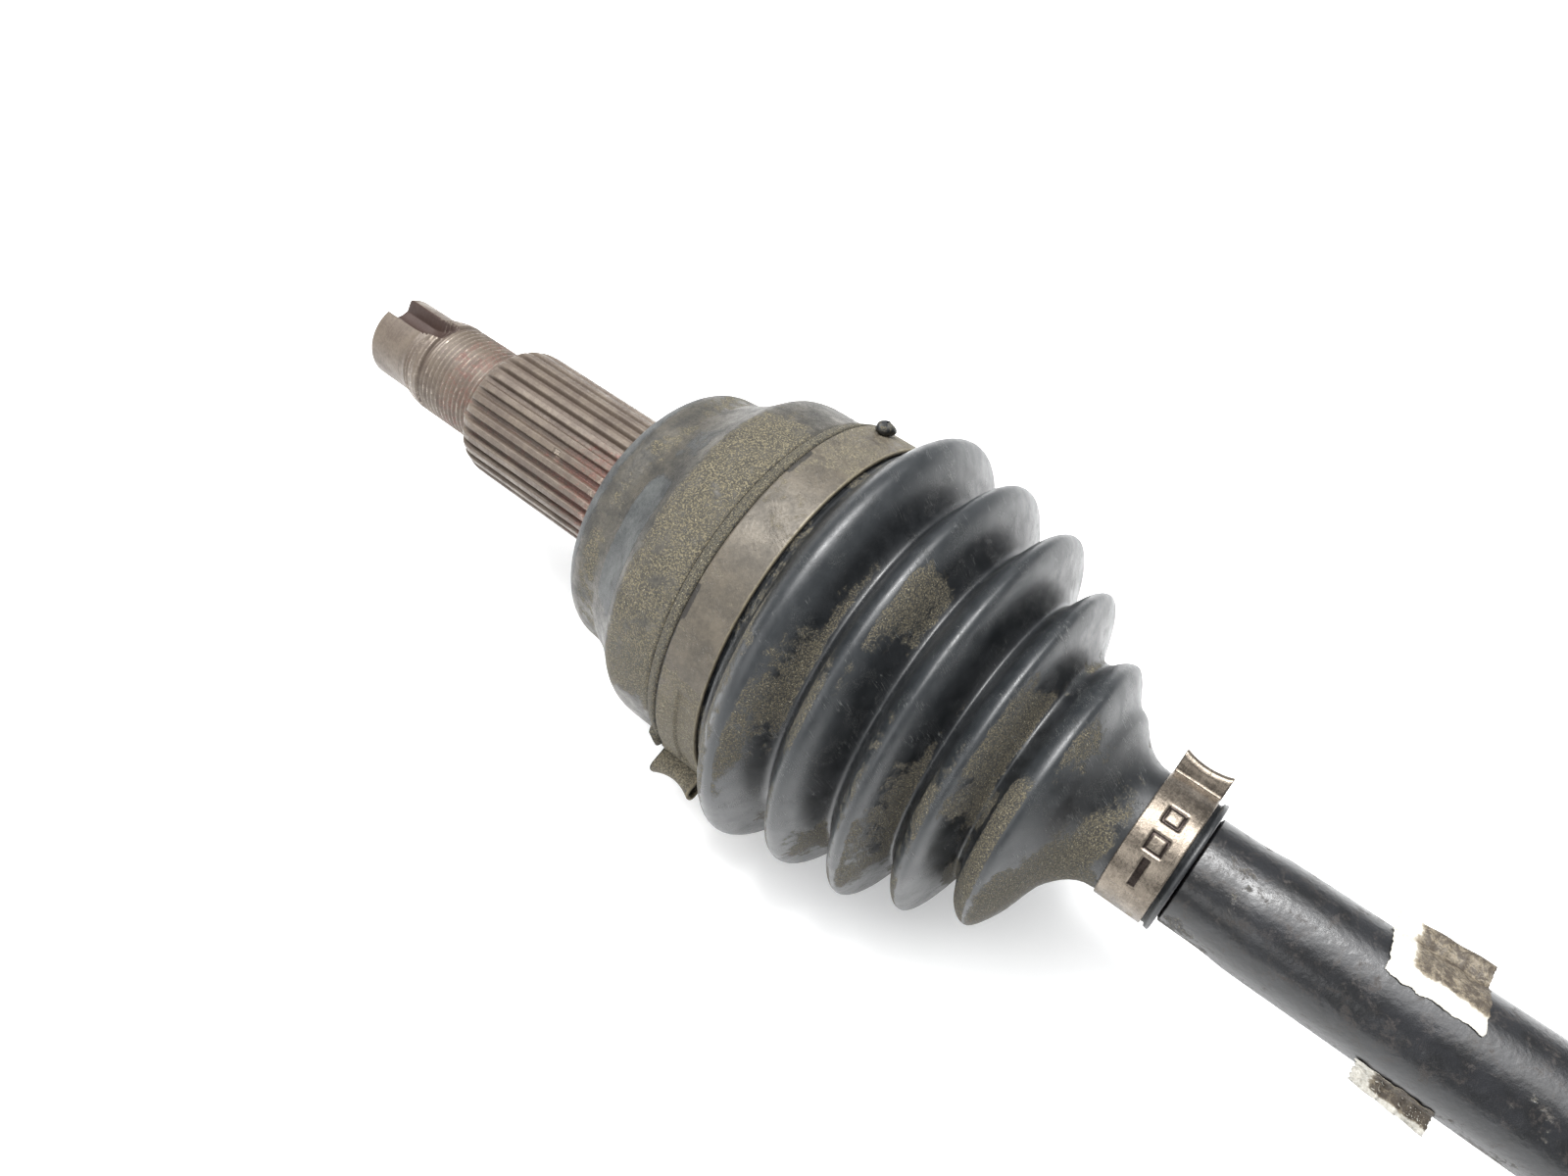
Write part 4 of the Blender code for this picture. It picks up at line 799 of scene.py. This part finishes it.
def outerBootShape(look, x, angle, radius, valley, side):
    # the folds near the bar hang a little to one side: (how far, x, half width, softness)
    sag = sum(far * bump(x, *where) for far, *where in look["sags"])
    turn = math.radians(look["sagAngle"])
    shiftY, shiftZ = sag * math.cos(turn), sag * math.sin(turn)
    radius = radius + uneven(look, x, angle, 21, 8, 10)
    nickX, nickAngle = look["nickAt"]
    nick = bump(x, nickX, 0.8, 0.8) * bump(angle, nickAngle, 1.6, 0.8)
    radius = radius - look["nickDepth"] * nick
    # small tab on the rim's outer face
    tab = bump(x, look["rimX"] + 0.8, 1.6, 0.5) * bump(angle, look["tabAngle"], 2.4, 0.5) * (radius > 38.5)
    radius = radius + look["tabHeight"] * tab
    lower = ramp(angle, 160, 205) * ramp(angle, 275, 235)
    rightFlank = (side > 0) * bump(valley, 0.5, 0.32, 0.6)
    leftCrest = (side < 0) * bump(valley, 0.28, 0.2, 0.6)
    wave = 0.5 + 0.5 * np.sin(np.radians(angle * 3) + x * 0.21)
    dust = 0.13 + 0.38 * rightFlank * bump(angle, 140, 38, 0.8) * wave + 0.17 * lower
    dust = dust + 0.30 * leftCrest * bump(angle, 162, 30, 0.8) + 0.10 * bump(valley, 0.95, 0.2, 0.5)
    # more of it on the last fold, the rim and the sleeve's end
    for extra, *where in ((0.16, 201, 9, 0.6), (0.42, 125.6, 2.4, 0.5), (0.16, 140.5, 2.0, 0.6)):
        dust = dust + extra * bump(x, *where)
    # crest: painted sheen on the fold tops, weaker on the lower side
    crest = bump(valley, 0.06, 0.26, 0.8) * (1 - 0.5 * lower)
    return x, radius, np.stack([shiftY, shiftZ]), {"dust": dust, "crest": crest}


makeBoot("outerBoot", outerBoot, "outer_boot",
         outerBootShape)

# a stray tab of rubber beside the large clamp
bootTab = {"x": 131.6, "angle": 52, "radius": 42.3, "half": (2.1, 2.6, 1.5), "rings": 14, "columns": 24}


def makeBootTab(look):
    turn = math.radians(look["angle"])
    out = np.array((0, math.cos(turn), math.sin(turn)))
    side = np.array((0, -math.sin(turn), math.cos(turn)))
    along, across, high = look["half"]
    tilt, around = np.meshgrid(np.linspace(0.04, math.pi - 0.04, look["rings"]),
                               np.arange(look["columns"]) * 2 * math.pi / look["columns"], indexing="ij")
    size = (1 + 0.12 * np.sin(3 * around + 2 * tilt))[..., None]
    centre = np.array((look["x"], 0, 0)) + out * look["radius"]
    points = centre + size * (np.array((1, 0, 0)) * (along * np.sin(tilt) * np.cos(around))[..., None]
                              + side * (across * np.sin(tilt) * np.sin(around))[..., None]
                              + out * (high * np.cos(tilt))[..., None])
    faces = gridFaces(look["rings"], look["columns"], False, True)
    last = (look["rings"] - 1) * look["columns"]
    faces.append(list(range(look["columns"])))
    faces.append([last + column for column in range(look["columns"])][::-1])
    marks = {"dust": np.full(tilt.size, 0.42), "crest": np.zeros(tilt.size)}
    piece = addMesh("bootTab", points.reshape(-1, 3), faces, bootRubber, marks)
    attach(piece, "outer_joint")
    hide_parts("outer_boot")


makeBootTab(bootTab)

# the inner boot runs the other way: its line is laid out in mirrorX - x
# it crosses two joints, so it is made in two pieces that meet in a valley
innerBoot = {
    "rimX": 430.0, "rimInside": 38.3, "sleeveRadius": 40.9, "rimRadius": 42.0, "sleeveEnd": 446.6,
    "wall": 1.2, "unevenness": 0.14, "unevenFrom": (447, 452), "unevenTo": (515, 508),
    "folds": [(451.0, 43.4, 458.0, 35.0), (464.5, 41.0, 471.0, 31.0), (477.0, 37.5, 483.0, 27.0),
              (488.5, 32.5, 494.0, 22.5), (499.0, 26.5, 514.6, 13.1)],
    "neckX": 514.6, "neckRadius": 12.95, "neckEnd": 525.6, "lipRadius": 13.7, "lipEnd": 526.9, "bore": 10.75,
    "mirrorX": 900.0, "columns": 216}


def innerBootShape(look, x, angle, radius, valley, side):
    # even where the two pieces of this boot meet
    radius = radius + uneven(look, x, angle, 51, 8, 10) * (np.abs(x - look["folds"][1][2]) > 1.5)
    lower = ramp(angle, 150, 195) * ramp(angle, 275, 235)
    wave = 0.5 + 0.5 * np.sin(np.radians(angle * 2) + x * 0.17)
    dust = 0.14 + 0.3 * (side > 0) * bump(valley, 0.5, 0.32, 0.6) * wave + 0.14 * lower
    dust = dust + 0.22 * bump(valley, 0.95, 0.2, 0.5)
    # crest: painted sheen on the fold tops, weaker on the lower side
    crest = bump(valley, 0.06, 0.26, 0.8) * (1 - 0.5 * lower)
    return x, radius, np.zeros(2), {"dust": dust, "crest": crest}


makeBoot("innerBootWide", innerBoot,
         "inner_boot", innerBootShape, 0, 2)
makeBoot("innerBootNarrow", innerBoot,
         "inner_boot", innerBootShape, 2)
print("boots ready")


barLow, barHigh = boxOf("axle_shaft")
bar = {"fromX": barLow[0], "toX": barHigh[0], "radius": 11.6, "seatRadius": 11.15, "endRadius": 10.4,
       "unevenness": 0.06, "unevenFrom": (228, 240), "unevenTo": (369, 360), "columns": 96}


def barShape(x, angle, radius):
    radius = radius + uneven(bar, x, angle, 31, 10, 14)
    dust = 0.16 + 0.2 * bump(x, 229, 4, 0.8) + 0.12 * ramp(angle, 150, 210) + 0.16 * bump(x, 281, 6, 0.7)
    return x, radius, np.zeros(2), {"dust": dust}


fromX, toX, seat, end = bar["fromX"], bar["toX"], bar["seatRadius"], bar["endRadius"]
barLine = roundedLine([
    (fromX, 0.4), (fromX, 9.4, 0.3), (fromX + 1, end, 0.3), (224.0, end, 0.1), (224.3, seat, 0.3),
    (233.2, seat, 2.0), (237.4, bar["radius"], 2.0), (359.6, bar["radius"], 2.0), (363.8, seat, 2.0),
    (372.7, seat, 0.3), (373.0, end, 0.1), (toX - 1, end, 0.3), (toX, 9.4, 0.3), (toX, 0.4)], 0.9)
barPiece = spin("axleBar", barLine, bar["columns"], barPaint, barShape)
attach(barPiece, "shaft")
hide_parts("axle_shaft")
print("bar ready")


def circlePath(centreAngle, halfWidth, radius, fromAngle, toAngle, earPoints, step):
    # goes round from fromAngle to toAngle, with the ear (sideways, height) let in at centreAngle
    path = []
    gap = math.degrees(halfWidth / radius(centreAngle))
    pace = math.degrees(step / radius(fromAngle))

    def arc(start, stop):
        count = max(2, int((stop - start) / pace))
        for angle in np.linspace(start, stop, count):
            turn = math.radians(angle)
            path.append((radius(angle) * math.cos(turn), radius(angle) * math.sin(turn)))

    arc(fromAngle, centreAngle - gap)
    turn = math.radians(centreAngle)
    out = np.array((math.cos(turn), math.sin(turn)))
    side = np.array((-math.sin(turn), math.cos(turn)))
    base = radius(centreAngle)
    ear = evenLine([out * (base + height) + side * sideways for sideways, height in earPoints], step)
    path += [tuple(point) for point in ear[1:-1]]
    arc(centreAngle + gap, toAngle)
    return np.array(path)


# one side of the ear to the other, as shares of its half width and its height
earForm = [(-1.0, 0.0), (-0.52, 0.0), (-0.36, 0.06), (-0.30, 0.2), (-0.32, 0.5), (-0.38, 0.78), (-0.34, 0.93),
           (-0.18, 1.0), (0.18, 1.0), (0.34, 0.93), (0.38, 0.78), (0.32, 0.5), (0.30, 0.2), (0.36, 0.06),
           (0.52, 0.0), (1.0, 0.0)]


def makeClamp(name, look, material, body, replaced):
    inner, thickness = look["radius"], look["thickness"]

    def radiusAt(angle):
        # the strip's outer end lies on top of its inner end
        return inner + (thickness + 0.06) * float(ramp(angle - look["start"], 320, 358))

    ear = [(sideways * look["earHalf"], height * look["earHeight"]) for sideways, height in earForm]
    earAngle = look["ear"] + 360 * (look["ear"] < look["start"])
    path = circlePath(earAngle, look["earHalf"], radiusAt, look["start"], look["stop"], ear, look["step"])
    path[1:-1] = 0.25 * path[:-2] + 0.5 * path[1:-1] + 0.25 * path[2:]
    turn = np.degrees(np.unwrap(np.arctan2(path[:, 1], path[:, 0])))
    turn = turn + 360 * round((look["start"] - turn[0]) / 360)
    height = np.hypot(path[:, 0], path[:, 1]) - inner
    onEar = ramp(height, look["earHeight"] * 0.3, look["earHeight"])
    leftEnd = np.cumsum(np.linalg.norm(np.diff(path[::-1], axis=0), axis=1))
    leftEnd = np.concatenate([leftEnd[::-1], [0]])
    narrowing = 1 - 0.22 * ramp(leftEnd, 1.6, 0.0)

    def shape(along, across):
        angle = turn[:, None] + 0 * across
        pressed, pit = 0 * across, 0 * across
        for middleAngle, halfAngle, middleAcross, halfAcross, depth, raised in look["windows"]:
            inside = bump(angle, middleAngle, halfAngle, 0.16) * bump(across, middleAcross, halfAcross, 0.16)
            if raised:
                core = bump(angle, middleAngle, halfAngle * 0.74, 0.12)
                core = core * bump(across, middleAcross, halfAcross * 0.74, 0.12)
                pressed = pressed + depth * np.clip(inside - core * raised, 0, 1)
                pit = pit + np.clip(inside - 0.62 * core, 0, 1)
            else:
                pressed = pressed + depth * inside
                pit = pit + inside
        saddle = onEar[:, None] * look["saddle"] * (np.abs(across / look["width"] - 0.5) * 2) ** 2
        lift = saddle - onEar[:, None] * look["saddle"] * 0.6
        marks = look["paint"](look, angle % 360, across, onEar[:, None] + 0 * across)
        marks["pit"] = pit
        return pressed, lift, marks

    piece = strap(name, path, look["x"], look["width"], thickness, material, shape, narrowing)
    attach(piece, body)
    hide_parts(replaced)


def paintLarge(look, angle, across, onEar):
    dust = 0.44 + 0.12 * np.sin(np.radians(angle * 2 + 40)) + 0.1 * ramp(angle, 150, 200)
    # pale dust over the band, and a painted highlight along its right edge
    glow = 0.5 * ramp(across, look["width"] - 0.9, look["width"]) + 0.2
    # darker along the left edge over the lower half, and dirt in two notches
    dark = 0.33 + 0.52 * ramp(across, 0.5, 0.0) * ramp(angle, 120, 150)
    for notch in look["notches"]:
        dark = dark + 0.7 * bump(angle, notch, 3.6, 0.6) * ramp(across, 1.3, 0.5)
    bare = 0.26 + 0.14 * onEar
    return {"dust": dust, "glow": glow, "dark": dark, "bare": bare}


def paintSmall(look, angle, across, onEar):
    return {"dust": 0.2 + 0.18 * ramp(angle, 150, 190) + 0.1 * onEar}


# windows: (angle, half angle, across, half across, depth, how far its middle stands up again)
outerLargeClamp = {
    "x": 127.9, "width": 10.4, "radius": 40.3, "thickness": 0.8, "start": 226, "stop": 646, "ear": 198,
    "step": 0.5, "earHalf": 4.8, "earHeight": 4.9, "saddle": 1.5, "notches": (86, 134),
    "windows": [(535, 15, 6.4, 1.15, 0.5, 0)], "paint": paintLarge}
outerSmallClamp = {
    "x": 212.4, "width": 9.6, "radius": 13.15, "thickness": 0.42, "start": 56, "stop": 523, "ear": 36,
    "step": 0.22, "earHalf": 3.1, "earHeight": 4.4, "saddle": 0.9,
    "windows": [(454, 7.2, 5.0, 1.7, 0.3, 0.85), (478, 7.2, 5.0, 1.7, 0.3, 0.85),
                (503, 12, 5.0, 0.7, 0.36, 0)], "paint": paintSmall}
innerLargeClamp = dict(outerLargeClamp, x=457.0, radius=41.1, start=90, stop=510, ear=60, notches=(110, 250),
                       windows=[(388, 15, 5.2, 1.15, 0.5, 0)])
innerSmallClamp = dict(outerSmallClamp, x=375.0, start=80, stop=547, ear=60,
                       windows=[(angle + 24, *rest) for angle, *rest in outerSmallClamp["windows"]])

for name, look, material, body, replaced in (
        ("outerLargeClamp", outerLargeClamp, largeBandSteel, "outer_joint", "outer_large_clamp"),
        ("outerSmallClamp", outerSmallClamp, smallBandSteel, "shaft", "outer_small_clamp"),
        ("innerLargeClamp", innerLargeClamp, largeBandSteel, "inner_joint", "inner_large_clamp"),
        ("innerSmallClamp", innerSmallClamp, smallBandSteel, "shaft", "inner_small_clamp")):
    makeClamp(name, look, material, body, replaced)
print("clamps ready")


label = {"thickness": 0.16, "barRadius": 11.75, "rows": 70, "columns": 60,
         "patches": [{"name": "labelPatch", "x": (256.3, 272.8), "angle": (30, 98), "liftTo": 3.6,
                      "curl": (0.22, 0.0), "ragged": 0.9, "wear": 0.30, "seed": 5},
                     {"name": "labelTail", "x": (262.6, 275.8), "angle": (184, 207), "liftTo": 3.4,
                      "curl": (0.35, 1.0), "ragged": 2.6, "wear": 0.36, "seed": 8}]}


def makeLabelPatch(patch):
    # a torn piece of paper: a grid with ragged sides, one end curling off the bar
    rng = np.random.default_rng(patch["seed"])
    rows, columns = label["rows"], label["columns"]
    u, v = np.meshgrid(np.linspace(0, 1, rows), np.linspace(0, 1, columns), indexing="ij")

    def torn(count, size):
        steps = rng.normal(0, 1, count)
        smooth = np.convolve(steps, np.ones(5) / 5, "same") * 1.4 + steps * 0.35
        return smooth * size

    fromX, toX = patch["x"]
    fromAngle, toAngle = patch["angle"]
    left, right = torn(rows, 0.14)[:, None], torn(rows, 0.16)[:, None]
    head, tail = torn(columns, 0.9)[None, :], torn(columns, patch["ragged"])[None, :]
    x = fromX + left + (toX - fromX + right - left) * v + 1.4 * (u - 0.5)
    angle = fromAngle + head + (toAngle - fromAngle + tail - head) * u
    curl = ramp(u, *patch["curl"])
    lift = patch["liftTo"] * curl * (0.8 + 0.2 * v)
    radius = label["barRadius"] + lift + 0.08 * np.sin(v * 17 + u * 11)
    turn = np.radians(angle)
    points = np.vstack([np.stack([x, face * np.cos(turn), face * np.sin(turn)], -1).reshape(-1, 3)
                        for face in (radius + label["thickness"], radius)])
    count = rows * columns
    faces = gridFaces(rows, columns, False, False, flip=True)
    faces += [[count + corner for corner in face[::-1]] for face in faces]
    border = list(range(columns))
    border += [row * columns + columns - 1 for row in range(1, rows)]
    border += [(rows - 1) * columns + column for column in range(columns - 2, -1, -1)]
    border += [row * columns for row in range(rows - 2, 0, -1)]
    for first, second in zip(border, border[1:] + border[:1]):
        faces.append((first, second, count + second, count + first))
    wear = patch["wear"] + 0.42 * bump(u, 0.32, 0.36, 0.4) * bump(v, 0.68, 0.36, 0.4)
    wear = np.concatenate([wear.ravel(), wear.ravel() * 0.6])
    piece = addMesh(patch["name"], points, faces, labelPaper, {"wear": wear})
    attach(piece, "shaft")
    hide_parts("shaft_label")


for patch in label["patches"]:
    makeLabelPatch(patch)
print("label ready")


innerLow, innerHigh = boxOf("inner_joint_housing")
inner = {"mouthX": innerLow[0], "endX": innerHigh[0], "radius": 38.0, "floorX": 536.0, "sealRadius": 17.5,
         "spline": (570.0, 599.5), "teeth": 27, "tipRadius": 13.4, "rootRadius": 12.2, "neckRadius": 12.2,
         "trackRadius": 32.0, "trackHalf": 17.4, "boreRadius": 21.0, "flareTo": 468.0, "cavityEnd": 528.0,
         "scallops": (30, 150, 270), "scallopHalf": 24, "scallopDepth": 5.5, "scallopFrom": 474.0,
         "unevenness": 0.05, "sealSeat": (537, 567), "splinedFrom": 568, "dustyTo": 530, "columns": 432}


def innerShape(x, angle, radius):
    outside = innerOutside
    # three roller tracks in the cavity, at 90, 210 and 330 degrees, widening at the mouth
    away = np.radians(np.abs((angle - 30) % 120 - 60))
    track = inner["trackRadius"]
    lobes = np.clip(inner["trackHalf"] / np.maximum(np.sin(away), 0.01), inner["boreRadius"], track)
    lobes = lobes + (track - lobes) * ramp(x, inner["flareTo"], inner["mouthX"])
    radius = np.where(outside, radius, radius * lobes / track)
    # hollows between the tracks on the outside
    body = ramp(x, inner["scallopFrom"] - 3, inner["scallopFrom"] + 1.5) * ramp(x, 541, 532)
    for middle in inner["scallops"]:
        away = np.abs((angle - middle + 180) % 360 - 180)
        cut = np.clip(1 - (away / inner["scallopHalf"]) ** 2, 0, 1)
        radius = radius - inner["scallopDepth"] * cut * body * outside
    toothCut = splineCut(inner, x, angle)
    radius = radius - np.maximum(radius - inner["rootRadius"], 0) * outside * toothCut
    radius = radius + inner["unevenness"] * roll(x, angle, 41, 8, 12)
    # the seal's seat and the splined end are clean, the body is dusty
    sealFrom, sealTo = inner["sealSeat"]
    bare = 0.2 + 0.7 * (x > sealFrom) * (x < sealTo) + 0.42 * (x > inner["splinedFrom"])
    dust = np.where(x < inner["dustyTo"], 0.44, 0.24) + 0.12 * np.sin(np.radians(2 * angle))
    # darker in the spline grooves, at the step to the splines and at the step down to the seal seat
    dark = 0.22 + 0.4 * toothCut + 0.3 * bump(x, inner["splinedFrom"], 1.5) + 0.26 * bump(x, 536.5, 1.2)
    return x, radius, np.zeros(2), {"dust": dust, "bare": bare, "dark": dark}


mouth, cavityEnd, floorX, endX = inner["mouthX"], inner["cavityEnd"], inner["floorX"], inner["endX"]
wide, track, seal, tip = inner["radius"], inner["trackRadius"], inner["sealRadius"], inner["tipRadius"]
innerOuter = roundedLine([
    (mouth + 0.4, wide), (471.0, wide, 0.6), (472.0, wide - 0.5, 0.5), (527.0, wide, 4.0), (532.0, 35.0, 4.0),
    (floorX, 28.0, 3.0), (floorX, 19.5, 0.8), (538.0, seal, 0.8), (566.0, seal, 0.8),
    (568.0, inner["neckRadius"], 0.8), (569.6, inner["neckRadius"], 0.4), (571.2, tip, 0.6),
    (598.2, tip, 0.6), (600.0, 12.0, 0.4), (600.0, 11.6), (604.4, 11.6), (604.5, 10.4), (606.7, 10.4),
    (606.8, 11.6), (609.2, 11.6, 0.5), (endX, 10.8), (endX, 3.2, 0.3), (608.6, 2.0, 0.2), (608.6, 0.4)], 0.45)
innerCavity = roundedLine([
    (cavityEnd, 0.5), (cavityEnd, track, 3.0), (470.0, track, 3.0), (mouth + 0.3, 35.0, 0.4),
    (mouth, 35.4, 0.3), (mouth, wide - 0.4)], 1.6)
innerOutside = np.concatenate([np.zeros(len(innerCavity)), np.ones(len(innerOuter))])[:, None] > 0
innerLine = np.vstack([innerCavity, innerOuter])
innerPiece = spin("innerHousing", innerLine, inner["columns"], innerSteel, innerShape)
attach(innerPiece, "inner_joint")
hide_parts("inner_joint_housing")
print("inner housing ready")


# the bearing parts keep their CAD shape: balls, rollers, needles and race are ground, the rest is phosphated
ground = ("ball_", "roller_", "needle_", "inner_race")
for name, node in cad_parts.items():
    finish = ballSteel if name.startswith(ground) and name != "ball_cage" else phosphatedSteel
    for slot in node.material_slots:
        slot.material = finish
print("inside parts finished")


camera = {"place": (0.2218, -0.1135, 0.2053), "right": (0.76737, 0.64120, -0.00051),
          "up": (-0.51797, 0.62037, 0.58894), "lens": 27, "sensor": 36}        # metres, lens in millimetres
studio = {"floorHeight": -0.0479, "floorSize": 6.0, "floorGlow": 0.2, "floorRough": 0.7, "sky": 0.55,
          "skyTone": (0.96, 0.98, 1.0, 1), "aim": (0.16, 0, 0),
          "lamps": [{"name": "ceiling", "place": (0.1, 0.1, 1.4), "size": (1.8, 1.4), "power": 38},
                    {"name": "strip", "place": (0.0, 0.12, 1.4), "size": (0.9, 0.2), "power": 26},
                    {"name": "side", "place": (-0.1, -0.9, 0.5), "size": (1.0, 0.2), "power": 3}]}


def makeCamera():
    right, up = Vector(camera["right"]), Vector(camera["up"])
    back = right.cross(up).normalized()
    up = back.cross(right).normalized()
    lensData = bpy.data.cameras.new("mainCamera")
    lensData.lens = camera["lens"]
    lensData.sensor_width = camera["sensor"]
    lensData.clip_start = 0.01
    cameraObject = addObject("mainCamera", lensData)
    turn = Matrix((right.normalized(), up, back)).transposed().to_4x4()
    cameraObject.matrix_world = Matrix.Translation(Vector(camera["place"])) @ turn
    bpy.context.scene.camera = cameraObject


def makeFloor():
    half = studio["floorSize"] / 2
    floorMesh = bpy.data.meshes.new("floor")
    floorMesh.from_pydata([(-half, -half, 0), (half, -half, 0), (half, half, 0), (-half, half, 0)], [],
                          [(0, 1, 2, 3)])
    floor = addObject("floor", floorMesh)
    floor.location = (0.3, 0, studio["floorHeight"])
    place = startMaterial("floorPaper", onCad=True)
    tone = tint(stretch(grain(place, 0.014, 4), 0.3, 0.7), (0.86, 0.865, 0.86, 1), grey(0.9))
    for socket, value in (("Base Color", tone), ("Roughness", studio["floorRough"]),
                          ("Emission Color", grey(1)), ("Emission Strength", studio["floorGlow"])):
        feed(work["shader"].inputs[socket], value)
    floorMesh.materials.append(work["material"])


def makeLight():
    world = bpy.data.worlds.new("studioWorld")
    world.use_nodes = True
    background = world.node_tree.nodes["Background"].inputs
    background["Color"].default_value = studio["skyTone"]
    background["Strength"].default_value = studio["sky"]
    bpy.context.scene.world = world
    for lamp in studio["lamps"]:
        light = bpy.data.lights.new(lamp["name"], "AREA")
        light.shape = "RECTANGLE"
        light.size, light.size_y = lamp["size"]
        light.energy = lamp["power"]
        lightObject = addObject(lamp["name"], light)
        lightObject.location = lamp["place"]
        aim = Vector(studio["aim"]) - Vector(lamp["place"])
        lightObject.rotation_euler = aim.to_track_quat("-Z", "Y").to_euler()
    bpy.context.scene.view_settings.view_transform = "Standard"


makeCamera()
makeFloor()
makeLight()
print("studio ready")
